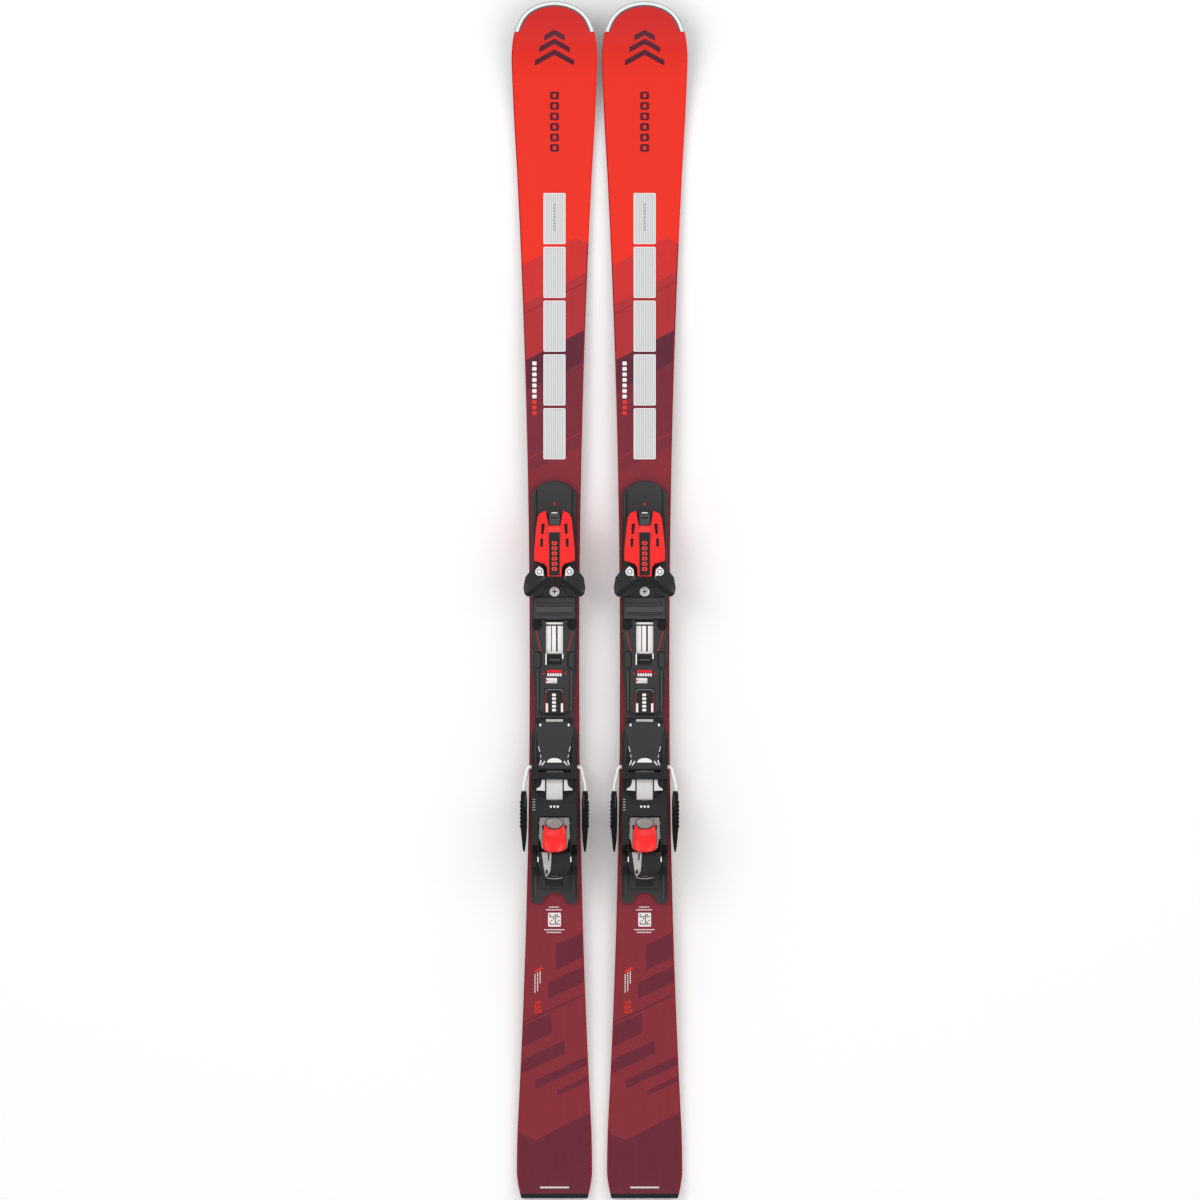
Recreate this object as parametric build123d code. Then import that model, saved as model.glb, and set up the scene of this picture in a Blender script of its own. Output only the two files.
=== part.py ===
"""A pair of 165 cm slalom skis with bindings, in millimetres.

Z is up and the tips point along +Y. Each piece is modelled once about its ski's own centre line,
then placed for the left and for the right ski. Every piece is written to its own STEP file.
"""
import math
import os

from build123d import *

# ---- the pair ------------------------------------------------------------------------------------
SKI_CENTRE = 62.0  # each ski's centre line, from the middle of the pair

# ---- ski outline: one side as arcs, each ending where the next begins ----------------------------
TIP_Y = 822.6
TAIL_Y = -822.6
OUTLINE_ARCS = [  # (start, a point on the way, end) as (half-width, y)
    ((0.0, 822.6), (15.4, 820.8), (30.0, 815.4)),
    ((30.0, 815.4), (41.3, 807.0), (49.4, 795.4)),
    ((49.4, 795.4), (54.5, 782.3), (57.4, 768.5)),
    ((57.4, 768.5), (58.7, 754.8), (59.1, 741.0)),
    ((59.1, 741.0), (56.3, 675.0), (51.6, 590.0)),
    ((51.6, 590.0), (39.3, 285.0), (34.0, -89.0)),
    ((34.0, -89.0), (38.6, -430.0), (49.2, -696.0)),
    ((49.2, -696.0), (51.3, -744.0), (51.7, -790.0)),
    ((51.7, -790.0), (49.4, -806.5), (45.6, -822.6)),
]

# ---- ski side profile ----------------------------------------------------------------------------
CAMBER = 4.0
FLAT_REAR_Y, FLAT_FRONT_Y = -440.0, 200.0
FRONT_CONTACT_Y, REAR_CONTACT_Y = 610.0, -772.0
TIP_RISE, TAIL_RISE = 58.0, 8.0
MID_THICKNESS, CONTACT_THICKNESS, TIP_THICKNESS, TAIL_THICKNESS = 16.0, 8.0, 6.5, 8.0
BASE_THICKNESS = 1.3
EDGE_HEIGHT, EDGE_WIDTH = 2.0, 2.2
TOPSHEET_THICKNESS, TOPSHEET_INSET = 1.0, 1.8
SIDEWALL_WIDTH = 7.0
GUARD_WIDTH, GUARD_END_Y = 7.0, 781.0
TAIL_STRIP = 6.2

# ---- levels above the floor ----------------------------------------------------------------------
SKI_TOP = CAMBER + MID_THICKNESS
PLATE_TOP = SKI_TOP + 11.0
FLANGE_TOP = SKI_TOP + 6.0
BAND_THICKNESS = 1.5
BAND_BOTTOM = PLATE_TOP - 1.6

# ---- mounting plate ------------------------------------------------------------------------------
PLATE_FRONT_Y, PLATE_SHOULDER_Y, PLATE_REAR_Y = 164.3, 145.0, -417.0
PLATE_HALF = 31.4
RAIL_START_Y = -166.0
RAIL_HEAD_HALF, RAIL_NECK_HALF = 20.0, 16.5
RAIL_HEAD_BOTTOM = PLATE_TOP - 2.2
BAND_HALF = 11.7
COVER_TOP = 36.5
LATCH_Y, LATCH_Z, LATCH_PIN = -155.5, 35.4, 1.2

# ---- toe -----------------------------------------------------------------------------------------
PIVOT_X, PIVOT_Y = 20.7, 39.0
WING_BOTTOM, WING_TOP = 50.0, 66.0
TOE_TOP = 70.0
SPINE_HALF = 7.4
TOE_SCREW_Z = 52.0
RIVET_RADIUS = 3.0
AFD_BOTTOM, AFD_TOP = 37.0, 40.5
TOE_FLOOR = 36.0
SCREW_PAIRS = [(18, 95), (18, 64), (20.6, -135), (20.6, -105)]  # one screw each side of the centre line
SCREW_SPOTS = [(0, 11.5)] + [(sign * x, y) for x, y in SCREW_PAIRS for sign in (-1, 1)]
SCREW_RADIUS, SCREW_HEAD_RADIUS, SCREW_HEAD_HEIGHT = 2.75, 6.5, 2.8
SCREW_POINT_Z = 12.0

# ---- heel ----------------------------------------------------------------------------------------
BRAKE_Y, BRAKE_Z = -229.5, 37.0
WIRE_RADIUS = 2.4
AXLE_Y, AXLE_Z, AXLE_RADIUS = -356.0, 60.0, 3.5
BARREL_RADIUS = 25.4
SPRING_Z = 60.0
HEEL_FLOOR, HEEL_HALF = 34.0, 31.4
PEDAL_TOP = 44.0
LEVER_PIVOT_Y, LEVER_PIVOT_Z = -306.0, 88.0

PIN_GAP = 0.05  # radial clearance of a pin in its bore


def box(x, y, z):
    """A box from three (low, high) pairs."""
    size = [high - low for low, high in (x, y, z)]
    centre = [(high + low) / 2 for low, high in (x, y, z)]
    return Pos(*centre) * Box(*size)


def plan_prism(points, low, high):
    """A plan outline of (x, y) points, standing from low to high."""
    face = make_face(Polyline(*points, close=True))
    return extrude(Pos(0, 0, low) * face, high - low)


def side_prism(points, left, right):
    """A side outline of (y, z) points, running from x = left to x = right."""
    wire = Polyline(*[(left, y, z) for y, z in points], close=True)
    return extrude(make_face(wire), right - left, dir=(1, 0, 0))


def rod(start, end, radius):
    """A round bar between two points."""
    start, end = Vector(*start), Vector(*end)
    plane = Plane(start, z_dir=end - start)
    return extrude(plane * Circle(radius), (end - start).length)


def both_sides(points):
    """Closes an outline of x > 0 points with its mirror image."""
    return points + [(-x, y) for x, y in reversed(points)]


def pair(shape):
    """A piece and its mirror image across the ski's centre line."""
    return Compound(children=[*shape.solids(), *mirror(shape, Plane.YZ).solids()])


def cut(shape, *tools):
    for tool in tools:
        for solid in tool.solids():
            shape = shape - solid
    return shape


# ---- the ski -------------------------------------------------------------------------------------
def rise(distance, run, height):
    """How far a circular arc has risen after a distance, when it rises a height over the run."""
    radius = (run * run + height * height) / (2 * height)
    return radius - math.sqrt(radius * radius - distance * distance)


def level_steps(start, end):
    """The two arcs of an S curve with level ends, as (start, middle, end) points in (y, z)."""
    centre = ((start[0] + end[0]) / 2, (start[1] + end[1]) / 2)
    half_run, half_drop = centre[0] - start[0], start[1] - centre[1]
    quarter = rise(abs(half_run) / 2, abs(half_run), abs(half_drop)) * math.copysign(1, half_drop)
    first = (start[0] + half_run / 2, start[1] - quarter)
    second = (end[0] - half_run / 2, end[1] + quarter)
    return [(start, first, centre), (centre, second, end)]


def upturn(start, end):
    """An arc that leaves start level and rises to end, as (start, middle, end)."""
    run, height = end[0] - start[0], end[1] - start[1]
    middle = (start[0] + run / 2, start[1] + rise(abs(run) / 2, abs(run), height))
    return [(start, middle, end)]


def profile(front_contact, front_end, middle, rear_contact, rear_end):
    """A lengthwise curve through five levels, as arcs and one flat line."""
    front_y, rear_y = FRONT_CONTACT_Y, REAR_CONTACT_Y
    arcs = upturn((rear_y, rear_contact), (TAIL_Y - 2, rear_end))
    arcs = [tuple(reversed(arc)) for arc in arcs]
    arcs += level_steps((rear_y, rear_contact), (FLAT_REAR_Y, middle))
    arcs.append(((FLAT_REAR_Y, middle), None, (FLAT_FRONT_Y, middle)))
    arcs += level_steps((FLAT_FRONT_Y, middle), (front_y, front_contact))
    arcs += upturn((front_y, front_contact), (TIP_Y + 2, front_end))
    return arcs


BOTTOM = profile(0.0, TIP_RISE, CAMBER, 0.0, TAIL_RISE)
TOP = profile(
    CONTACT_THICKNESS,
    TIP_RISE + TIP_THICKNESS,
    SKI_TOP,
    CONTACT_THICKNESS + 1.0,
    TAIL_RISE + TAIL_THICKNESS,
)


def raised_edges(arcs, offset):
    """The arcs of a lengthwise curve as edges, lifted by an offset."""
    edges = []
    for start, middle, end in arcs:
        corners = [(-70, y, z + offset) for y, z in (start, end)]
        if middle is None:
            edges.append(Line(*corners))
        else:
            edges.append(ThreePointArc(corners[0], (-70, middle[0], middle[1] + offset), corners[1]))
    return edges


def slab(lower, lower_offset, upper, upper_offset):
    """The space between two lengthwise curves, wider than the ski."""
    below, above = raised_edges(lower, lower_offset), raised_edges(upper, upper_offset)
    ends = [Line(below[0] @ 0, above[0] @ 0), Line(below[-1] @ 1, above[-1] @ 1)]
    return extrude(make_face(below + above + ends), 140.0, dir=(1, 0, 0))


def arc_inset(start, middle, end, inset):
    """The same arc moved in towards the centre line."""
    arc = ThreePointArc(start, middle, end)
    moved = []
    for t in (0.0, 0.5, 1.0):
        along = arc % t
        moved.append(arc @ t + Vector(along.Y, -along.X) * inset)
    return moved


def plan_region(inset, low_y, high_y):
    """Everything inside the ski's outline moved in by inset, between two stations."""
    arcs = [arc_inset(*arc, inset) for arc in OUTLINE_ARCS]
    arcs[0][0] = Vector(0, TIP_Y - inset)
    for before, after in zip(arcs, arcs[1:]):
        joint = (before[2] + after[0]) / 2
        before[2] = after[0] = joint
    right = [ThreePointArc(*arc) for arc in arcs]
    left = [ThreePointArc(*[(-p.X, p.Y) for p in arc]) for arc in arcs]
    end = arcs[-1][2]
    face = make_face(right + left + [Line((end.X, end.Y), (-end.X, end.Y))])
    tall = extrude(Pos(0, 0, -5) * face, 105.0)
    return tall & box((-70, 70), (low_y, high_y), (-5, 100))


def ski_pieces():
    rear_y, front_y = TAIL_Y + TAIL_STRIP, TIP_Y + 5
    whole = plan_region(0.0, rear_y, front_y)
    within_edges = plan_region(EDGE_WIDTH, rear_y, front_y)
    within_walls = plan_region(SIDEWALL_WIDTH, rear_y, front_y)
    within_top = plan_region(TOPSHEET_INSET, rear_y, front_y)

    tip_guard = plan_region(0.0, GUARD_END_Y, front_y) & slab(BOTTOM, 0, TOP, 0)
    tip_guard = tip_guard - within_walls
    tail_protector = plan_region(0.0, TAIL_Y - 1, rear_y) & slab(BOTTOM, 0, TOP, 0)
    whole = whole - tip_guard
    lower_core = (within_edges & slab(BOTTOM, BASE_THICKNESS, BOTTOM, EDGE_HEIGHT)) - tip_guard
    upper_core = within_walls & slab(BOTTOM, EDGE_HEIGHT, TOP, -TOPSHEET_THICKNESS)
    base = (within_edges & slab(BOTTOM, 0, BOTTOM, BASE_THICKNESS)) - tip_guard
    edges = (whole & slab(BOTTOM, 0, BOTTOM, EDGE_HEIGHT)) - within_edges
    topsheet = (within_top & slab(TOP, -TOPSHEET_THICKNESS, TOP, 0)) - tip_guard
    sidewalls = (whole & slab(BOTTOM, EDGE_HEIGHT, TOP, 0)) - within_walls - topsheet
    return {
        "core": lower_core + upper_core,
        "base": base,
        "steel_edges": edges,
        "sidewalls": sidewalls,
        "topsheet": topsheet,
        "tip_guard": tip_guard,
        "tail_protector": tail_protector,
    }


# ---- screws, plate, band and covers --------------------------------------------------------------
def binding_screws():
    """Identical pan-head screws, seated on the plate and driven into the ski."""
    parts = []
    for x, y in SCREW_SPOTS:
        shank = rod((x, y, SCREW_POINT_Z), (x, y, PLATE_TOP), SCREW_RADIUS)
        head = rod((x, y, PLATE_TOP), (x, y, PLATE_TOP + SCREW_HEAD_HEIGHT), SCREW_HEAD_RADIUS)
        cross = PLATE_TOP + SCREW_HEAD_HEIGHT - 1.2
        for long, wide in ((2.6, 0.8), (0.8, 2.6)):
            head = head - box((x - long, x + long), (y - wide, y + wide), (cross, cross + 2))
        parts.append(shank + head)
    return Compound(children=[solid for part in parts for solid in part.solids()])


def screw_pockets(radius, high):
    """Clear round pockets over every screw head."""
    return [rod((x, y, PLATE_TOP - 1), (x, y, high), radius) for x, y in SCREW_SPOTS]


def mounting_plate():
    half, rear_half = PLATE_HALF, 31.8
    shoulder, join = PLATE_SHOULDER_Y, RAIL_START_Y
    outline = [
        ThreePointArc((-half, shoulder), (0, PLATE_FRONT_Y), (half, shoulder)),
        Line((half, shoulder), (half, join)),
        Line((half, join), (-half, join)),
        Line((-half, join), (-half, shoulder)),
    ]
    front = extrude(Pos(0, 0, SKI_TOP) * make_face(outline), PLATE_TOP - SKI_TOP)
    top_edges = front.edges().filter_by(lambda e: abs(e.center().Z - PLATE_TOP) < 0.01)
    front = chamfer([e for e in top_edges if e.center().Y > join + 1], 2.5)
    flange_plan = both_sides(
        [(rear_half, join), (rear_half, -413), (30, -417), (17, -417), (16, -412.6), (7.6, -402.6)]
    )
    flange = plan_prism(flange_plan, SKI_TOP, FLANGE_TOP)
    neck = box((-RAIL_NECK_HALF, RAIL_NECK_HALF), (-396, join), (FLANGE_TOP, PLATE_TOP))
    head = box((-RAIL_HEAD_HALF, RAIL_HEAD_HALF), (-396, join), (RAIL_HEAD_BOTTOM, PLATE_TOP))
    plate = front + flange + neck + head
    channel = box((-BAND_HALF - 0.2, BAND_HALF + 0.2), (-300, 0), (BAND_BOTTOM, PLATE_TOP + 1))
    waist_plan = [
        (33, -82), (PLATE_HALF, -82), (28.4, -118), (26.8, -150), (26.8, -168), (27.6, -176.3),
        (rear_half, -185.1), (33, -185.1),
    ]
    waists = pair(plan_prism(waist_plan, SKI_TOP - 1, PLATE_TOP + 1))
    return cut(plate, channel, waists)


def steel_band():
    band = box((-BAND_HALF, BAND_HALF), (-299, -1), (BAND_BOTTOM, BAND_BOTTOM + BAND_THICKNESS))
    top = BAND_BOTTOM + BAND_THICKNESS
    grooves = pair(box((3.5, 4.3), (-295, -36), (top - 0.4, top + 1)))
    bar_gap = box((-20, 20), (-35.3, -33.4), (top - 0.6, top + 1))
    return cut(band, grooves, bar_gap)


def centre_cover():
    outline = both_sides(
        [(12.4, -27.2), (30, -27.2), (30, -42), (27.6, -62), (27.6, -118), (26.4, -150), (26.4, -162)]
    )
    cover = plan_prism(outline, PLATE_TOP, COVER_TOP)
    window = box((-12.4, 12.4), (-73.6, -20), (PLATE_TOP - 1, COVER_TOP + 1))
    recess = box((-13.7, 13.7), (-158.2, -121.4), (33.2, COVER_TOP + 1))
    grips = pair(box((18, 26.4), (-92, -72), (COVER_TOP - 2, COVER_TOP + 1)))
    pin = rod((-15.4, LATCH_Y, LATCH_Z), (15.4, LATCH_Y, LATCH_Z), LATCH_PIN + PIN_GAP)
    scale = box((-12, 4), (-114.5, -107), (COVER_TOP - 0.6, COVER_TOP + 1))
    return cut(cover, window, recess, grips, pin, scale, *screw_pockets(6.8, 34.4))


def centre_latch():
    flap = box((-13.2, 13.2), (LATCH_Y, -121.9), (34.2, 37.3))
    hub = rod((-13.2, LATCH_Y, LATCH_Z), (13.2, LATCH_Y, LATCH_Z), 1.8)
    pin = rod((-15.2, LATCH_Y, LATCH_Z), (15.2, LATCH_Y, LATCH_Z), LATCH_PIN)
    return flap + hub + pin


# ---- toe piece -----------------------------------------------------------------------------------
def toe_rivets():
    pin = rod((PIVOT_X, PIVOT_Y, 40), (PIVOT_X, PIVOT_Y, WING_TOP + 0.3), RIVET_RADIUS)
    washer = rod((PIVOT_X, PIVOT_Y, WING_TOP + 0.3), (PIVOT_X, PIVOT_Y, WING_TOP + 1.5), 5.6)
    head = rod((PIVOT_X, PIVOT_Y, WING_TOP + 1.5), (PIVOT_X, PIVOT_Y, WING_TOP + 2.5), 3.4)
    return pair(pin + washer + head)


def toe_base():
    floor_plan = both_sides(
        [(9, 120), (22, 112), (24, 100), (26.8, 70), (26.8, 52), (29, 42), (29, 4)]
    )
    floor = plan_prism(floor_plan, PLATE_TOP, TOE_FLOOR)
    deck = box((-26, 26), (-23, 4), (PLATE_TOP, AFD_BOTTOM - 0.5))
    grooves = [box((-27, 27), y, (33, 34.6)) for y in ((-23.1, -21), (-1, 1.1))]
    deck = cut(deck, *grooves, box((-27, 27), (1, 4), (33, 40)))
    block = box((-7.8, 7.8), (101, 119), (TOE_FLOOR - 1, 58))
    spine = box((-SPINE_HALF, SPINE_HALF), (33, 93), (TOE_FLOOR - 1, TOE_TOP - 0.6))
    link = box((-SPINE_HALF, SPINE_HALF), (92, 102), (TOE_FLOOR - 1, 58))
    boss = pair(rod((PIVOT_X, PIVOT_Y, TOE_FLOOR - 1), (PIVOT_X, PIVOT_Y, WING_BOTTOM - 0.4), 8))
    base = floor + deck + block + spine + link + boss
    bore = rod((0, 58, TOE_SCREW_Z), (0, 120, TOE_SCREW_Z), 3.0 + PIN_GAP)
    counterbore = rod((0, 114.8, TOE_SCREW_Z), (0, 120, TOE_SCREW_Z), 4.9)
    window = box((-3.2, 3.2), (103.5, 112), (55.6, 59))
    return cut(base, bore, counterbore, window, toe_rivets(), *screw_pockets(7.3, TOE_FLOOR + 1))


def toe_housing(base):
    plan = both_sides([
        (12.6, 122.6), (20, 119), (23.3, 113.5), (24.5, 104), (26.4, 85), (27.9, 68.5),
        (27.8, 54), (14, 50), (10.2, 45), (9.6, 32.5),
    ])
    side = [(125, 36), (125, 48), (119, 54), (104, 61), (92, 66), (76, TOE_TOP), (31, TOE_TOP), (31, 36)]
    shell = plan_prism(plan, TOE_FLOOR, TOE_TOP) & side_prism(side, -40, 40)
    mouth = plan_prism(both_sides([(12.4, 126), (8.2, 102)]), TOE_FLOOR - 1, TOE_TOP + 1)
    rear_slots = pair(box((15.0, 18.0), (90.5, 105), (57, TOE_TOP + 1)))
    front_slots = pair(box((16.4, 19.4), (73, 85), (64, TOE_TOP + 1)))
    hollow = pair(box((10, 22), (56, 88), (TOE_FLOOR - 1, 60)))
    spine_gap = box((-SPINE_HALF, SPINE_HALF), (33, 93), (TOE_FLOOR - 1, TOE_TOP + 1))
    link_gap = box((-SPINE_HALF, SPINE_HALF), (92, 102), (TOE_FLOOR - 1, 58))
    return cut(shell, mouth, rear_slots, front_slots, hollow, spine_gap, link_gap, base)


def toe_wing():
    """The right wing; the left one is its mirror image."""
    plan = [
        (1.2, 30.2), (12.5, 31.4), (13.4, 38), (14.8, 43.5), (18, 46.6), (23.5, 46.4), (28.5, 43.5),
        (33, 40.3), (40.3, 31), (42.6, 17), (41.2, 8.5), (37.5, 4.8), (34.5, 4.5), (15, 17),
        (8.2, 23.5), (1.2, 28.6),
    ]
    wing = plan_prism(plan, WING_BOTTOM, WING_TOP)
    bore = rod((PIVOT_X, PIVOT_Y, 40), (PIVOT_X, PIVOT_Y, 80), RIVET_RADIUS + PIN_GAP)
    seat = rod((PIVOT_X, PIVOT_Y, WING_TOP - 0.01), (PIVOT_X, PIVOT_Y, 80), 6)
    return cut(wing, bore, seat)


def toe_din_screw():
    shank = rod((0, 60, TOE_SCREW_Z), (0, 116, TOE_SCREW_Z), 3.0)
    head = rod((0, 115.2, TOE_SCREW_Z), (0, 120.6, TOE_SCREW_Z), 4.7)
    slot = box((-0.7, 0.7), (119.2, 122), (TOE_SCREW_Z - 4, TOE_SCREW_Z + 4))
    return shank + head - slot


def afd_pad():
    """The sliding anti-friction pad, hooked round the deck's two grooves."""
    pad = box((-28, 28), (-26, 3.4), (AFD_BOTTOM - 0.4, AFD_TOP))
    for inner, outer, hook in ((1.1, 3.4, -0.8), (-23.1, -26.0, -21.2)):
        wall = box((-28, 28), tuple(sorted((inner, outer))), (33.2, AFD_TOP - 1))
        lip = box((-28, 28), tuple(sorted((hook, outer))), (33.2, 34.4))
        pad = pad + wall + lip
    for i in range(5):
        y = -20.0 + i * 3.9
        pad = pad + box((-25, 25), (y, y + 1.4), (AFD_TOP - 1, AFD_TOP + 0.5))
    return pad


# ---- brake ---------------------------------------------------------------------------------------
def brake_arms():
    inner, outer = (12, BRAKE_Y, BRAKE_Z), (32, BRAKE_Y, BRAKE_Z)
    bend = [outer, (38, -237.5, BRAKE_Z), (40.6, -248.7, BRAKE_Z), (42.4, -264, BRAKE_Z)]
    path = Wire([
        Line(inner, outer),
        Spline(*bend, tangents=[(1, 0, 0), (0, -1, 0)]),
        Line(bend[-1], (42.4, -330, BRAKE_Z)),
    ])
    section = Plane(origin=inner, z_dir=(1, 0, 0)) * Circle(WIRE_RADIUS)
    return pair(sweep(section, path=path))


def brake_pads(arms):
    teeth = []
    for i in range(7):
        y = -275.5 - i * 5.4
        teeth += [(46.2, y), (47.6, y - 1.6), (47.6, y - 3.8)]
    plan = [(38.6, -262.6), (45.2, -262.6), (46.4, -268), *teeth, (46.4, -314), (45.6, -322)]
    plan += [(44, -340), (42.8, -346), (40.6, -346), (38.6, -330), (37.5, -310), (37.4, -276)]
    low, high = BRAKE_Z - 5, BRAKE_Z + 5
    side = [(-262.6, low + 1.5), (-262.6, high - 1.5), (-266, high), (-300, high)]
    side += [(-346, high - 2.5), (-346, low + 3.5), (-300, low), (-266, low)]
    pad = plan_prism(plan, low - 1, high + 1) & side_prism(side, 30, 50)
    return cut(pair(pad), arms)


def brake_pedal(arms):
    plan = both_sides(
        [(12, -167.8), (21, -168.6), (24.6, -171), (25.4, -176), (23.5, -196), (18.5, -216), (17, -230)]
    )
    plate = plan_prism(plan, 40, PEDAL_TOP)
    trim = box((-30, 30), (-231, -221), (PEDAL_TOP - 1.6, PEDAL_TOP + 1))
    hub = rod((-21.4, BRAKE_Y, BRAKE_Z), (21.4, BRAKE_Y, BRAKE_Z), 5.4)
    window = extrude(Pos(0, -220.2, 38) * Ellipse(10, 3), 8)
    pedal = (plate - trim) + hub
    return cut(pedal, window, arms)


# ---- heel piece ----------------------------------------------------------------------------------
def heel_axles():
    return pair(rod((15.5, AXLE_Y, AXLE_Z), (HEEL_HALF, AXLE_Y, AXLE_Z), AXLE_RADIUS))


def heel_base():
    bearing = pair(box((22, HEEL_HALF), (-246, -224), (FLANGE_TOP + 0.1, 43)))
    bar = box((-23, 23), (-246, -236.6), (PLATE_TOP + 0.1, 43))
    legs = pair(box((18, 26), (-260, -244), (PLATE_TOP + 0.1, 38)))
    floor = box((-HEEL_HALF, HEEL_HALF), (-377, -244), (FLANGE_TOP + 0.1, HEEL_FLOOR))
    cheek = box((24.4, HEEL_HALF), (-367.5, -344.5), (HEEL_FLOOR - 1, AXLE_Z))
    cheek = cheek + rod((24.4, AXLE_Y, AXLE_Z), (HEEL_HALF, AXLE_Y, AXLE_Z), 11.5)
    base = floor + bearing + bar + legs + pair(cheek)
    neck = RAIL_NECK_HALF + 0.1
    head = RAIL_HEAD_HALF + 0.1
    slot = [
        box((-neck, neck), (-380, -220), (FLANGE_TOP, RAIL_HEAD_BOTTOM)),
        box((-head, head), (-380, -220), (RAIL_HEAD_BOTTOM - 0.1, PLATE_TOP + 0.1)),
    ]
    window = box((-12.2, 12.2), (-276, -246), (PLATE_TOP - 1, HEEL_FLOOR + 1))
    bores = rod((-40, BRAKE_Y, BRAKE_Z), (40, BRAKE_Y, BRAKE_Z), WIRE_RADIUS + PIN_GAP)
    return cut(base, *slot, window, bores, heel_axles())


def heel_housing():
    side = [
        (-262, 80), (-262, 74.5), (-277, 72), (-279, 52), (-270, 48), (-270, 41), (-274, 37),
        (-330, 37), (-336, 44), (-336, 84), (-322, 90), (-300, 93), (-280, 91),
    ]
    wide = side_prism(side, -31, 31)
    boot = rod((0, -240, 30), (0, -240, 110), 36)
    axle_line = [(x, AXLE_Y, AXLE_Z) for x in (-23.4, 23.4)]
    rounded = both_sides([(23.4, -330), (23.4, -363), (19, -374), (11, -380.8), (4, -382)])
    barrel = rod(*axle_line, BARREL_RADIUS) & plan_prism(rounded, 30, 90)
    shoulder = box((-23.4, 23.4), (-345, -330), (44, 84))
    housing = (wide - boot) + barrel + shoulder
    recess_side = [(-297, 99), (-297, 82), (-312, 80), (-334, 72.5), (-346, 72.5), (-346, 99)]
    recess = side_prism(recess_side, -21.8, 21.8)
    lever_pins = rod((-24.2, LEVER_PIVOT_Y, LEVER_PIVOT_Z), (24.2, LEVER_PIVOT_Y, LEVER_PIVOT_Z), 2.55)
    bore = rod((0, -386, SPRING_Z), (0, -288, SPRING_Z), 10.3)
    nose = rod((0, -290, SPRING_Z), (0, -283, SPRING_Z), 3.0 + PIN_GAP)
    stubs = pair(rod((15.3, AXLE_Y, AXLE_Z), (30, AXLE_Y, AXLE_Z), AXLE_RADIUS + PIN_GAP))
    return cut(housing, recess, lever_pins, bore, nose, stubs)


def heel_lever():
    frame = pair(box((16.4, 21.4), (-341, -298.4), (84, 93.5)))
    frame = frame.solids()[0] + frame.solids()[1]
    cross = box((-20, 20), (-310, -298.4), (84, 93))
    floor = box((-20, 20), (-342, -305), (84, 86.4))
    dome = rod((0, -307.6, 85), (0, -307.6, 97), 10)
    pins = rod((-24, LEVER_PIVOT_Y, LEVER_PIVOT_Z), (24, LEVER_PIVOT_Y, LEVER_PIVOT_Z), 2.5)
    return frame + cross + floor + dome + pins


def heel_lever_pad(lever):
    plan = both_sides([(14.7, -310), (16.3, -335), (16.0, -340.5), (9, -344), (3, -344.9)])
    pad = plan_prism(plan, 86.4, 98)
    scoop = Pos(0, -334, 98 + 34) * Sphere(40)
    return cut(pad, scoop, lever)


def heel_din_screw():
    head = rod((0, -380, SPRING_Z), (0, -373, SPRING_Z), 10.3 - PIN_GAP)
    shank = rod((0, -374, SPRING_Z), (0, -283.6, SPRING_Z), 3.0)
    slot = box((-5.5, 5.5), (-381, -378.2), (SPRING_Z - 0.9, SPRING_Z + 0.9))
    return head + shank - slot


def heel_spring():
    """A coil round the adjusting screw's shank, between its head and the bore's end."""
    length, wire = 80.0, 1.3
    coil = Helix(pitch=7.3, height=length - 2 * wire - 1.0, radius=7.2)
    section = Plane(origin=coil @ 0, z_dir=coil % 0) * Circle(wire)
    spring = sweep(section, path=coil, is_frenet=True)
    return Pos(0, -290.5, SPRING_Z) * Rot(90, 0, 0) * spring


def heel_tongue():
    """The grey arm on the barrel's left side, with its slot and its hole."""
    plan = [
        (-17.5, -346.2), (-3.9, -346.2), (-4.6, -362), (-5.6, -373), (-9.5, -379), (-12.4, -380.6),
        (-14.2, -370),
    ]
    line = [(x, AXLE_Y, AXLE_Z) for x in (-30, 30)]
    shell = rod(*line, BARREL_RADIUS + 1.8) - rod(*line, BARREL_RADIUS)
    arm = shell & plan_prism(plan, AXLE_Z, 95)
    slot = box((-8.9, -6.9), (-357, -347.5), (70, 95))
    hole = box((-12.2, -9.4), (-375.6, -370.4), (60, 95))
    return cut(arm, slot, hole)


# ---- the assembly --------------------------------------------------------------------------------
def one_ski():
    """Every piece of one ski and its binding, about the ski's own centre line."""
    pieces = ski_pieces()
    screws = binding_screws()
    for name in ("core", "topsheet"):
        pieces[name] = cut(pieces[name], screws)
    base = toe_base()
    arms = brake_arms()
    lever = heel_lever()
    wing = toe_wing()
    pieces.update({
        "binding_screws": screws,
        "mounting_plate": cut(mounting_plate(), screws),
        "steel_band": steel_band(),
        "centre_cover": centre_cover(),
        "centre_latch": centre_latch(),
        "toe_base": base,
        "toe_housing": toe_housing(base),
        "toe_wing_left": mirror(wing, Plane.YZ),
        "toe_wing_right": wing,
        "toe_rivets": toe_rivets(),
        "toe_din_screw": toe_din_screw(),
        "afd_pad": afd_pad(),
        "brake_arms": arms,
        "brake_pads": brake_pads(arms),
        "brake_pedal": brake_pedal(arms),
        "heel_base": heel_base(),
        "heel_axles": heel_axles(),
        "heel_housing": heel_housing(),
        "heel_lever": lever,
        "heel_lever_pad": heel_lever_pad(lever),
        "heel_din_screw": heel_din_screw(),
        "heel_spring": heel_spring(),
        "heel_tongue": heel_tongue(),
    })
    return pieces


def main():
    os.makedirs("parts", exist_ok=True)
    pieces = one_ski()
    for side, x in (("left", -SKI_CENTRE), ("right", SKI_CENTRE)):
        for name, shape in pieces.items():
            solids = [Pos(x, 0, 0) * solid for solid in shape.solids()]
            placed = solids[0] if len(solids) == 1 else Compound(children=solids)
            export_step(placed, f"parts/{side}_{name}.step")


if __name__ == "__main__":
    main()
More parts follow.
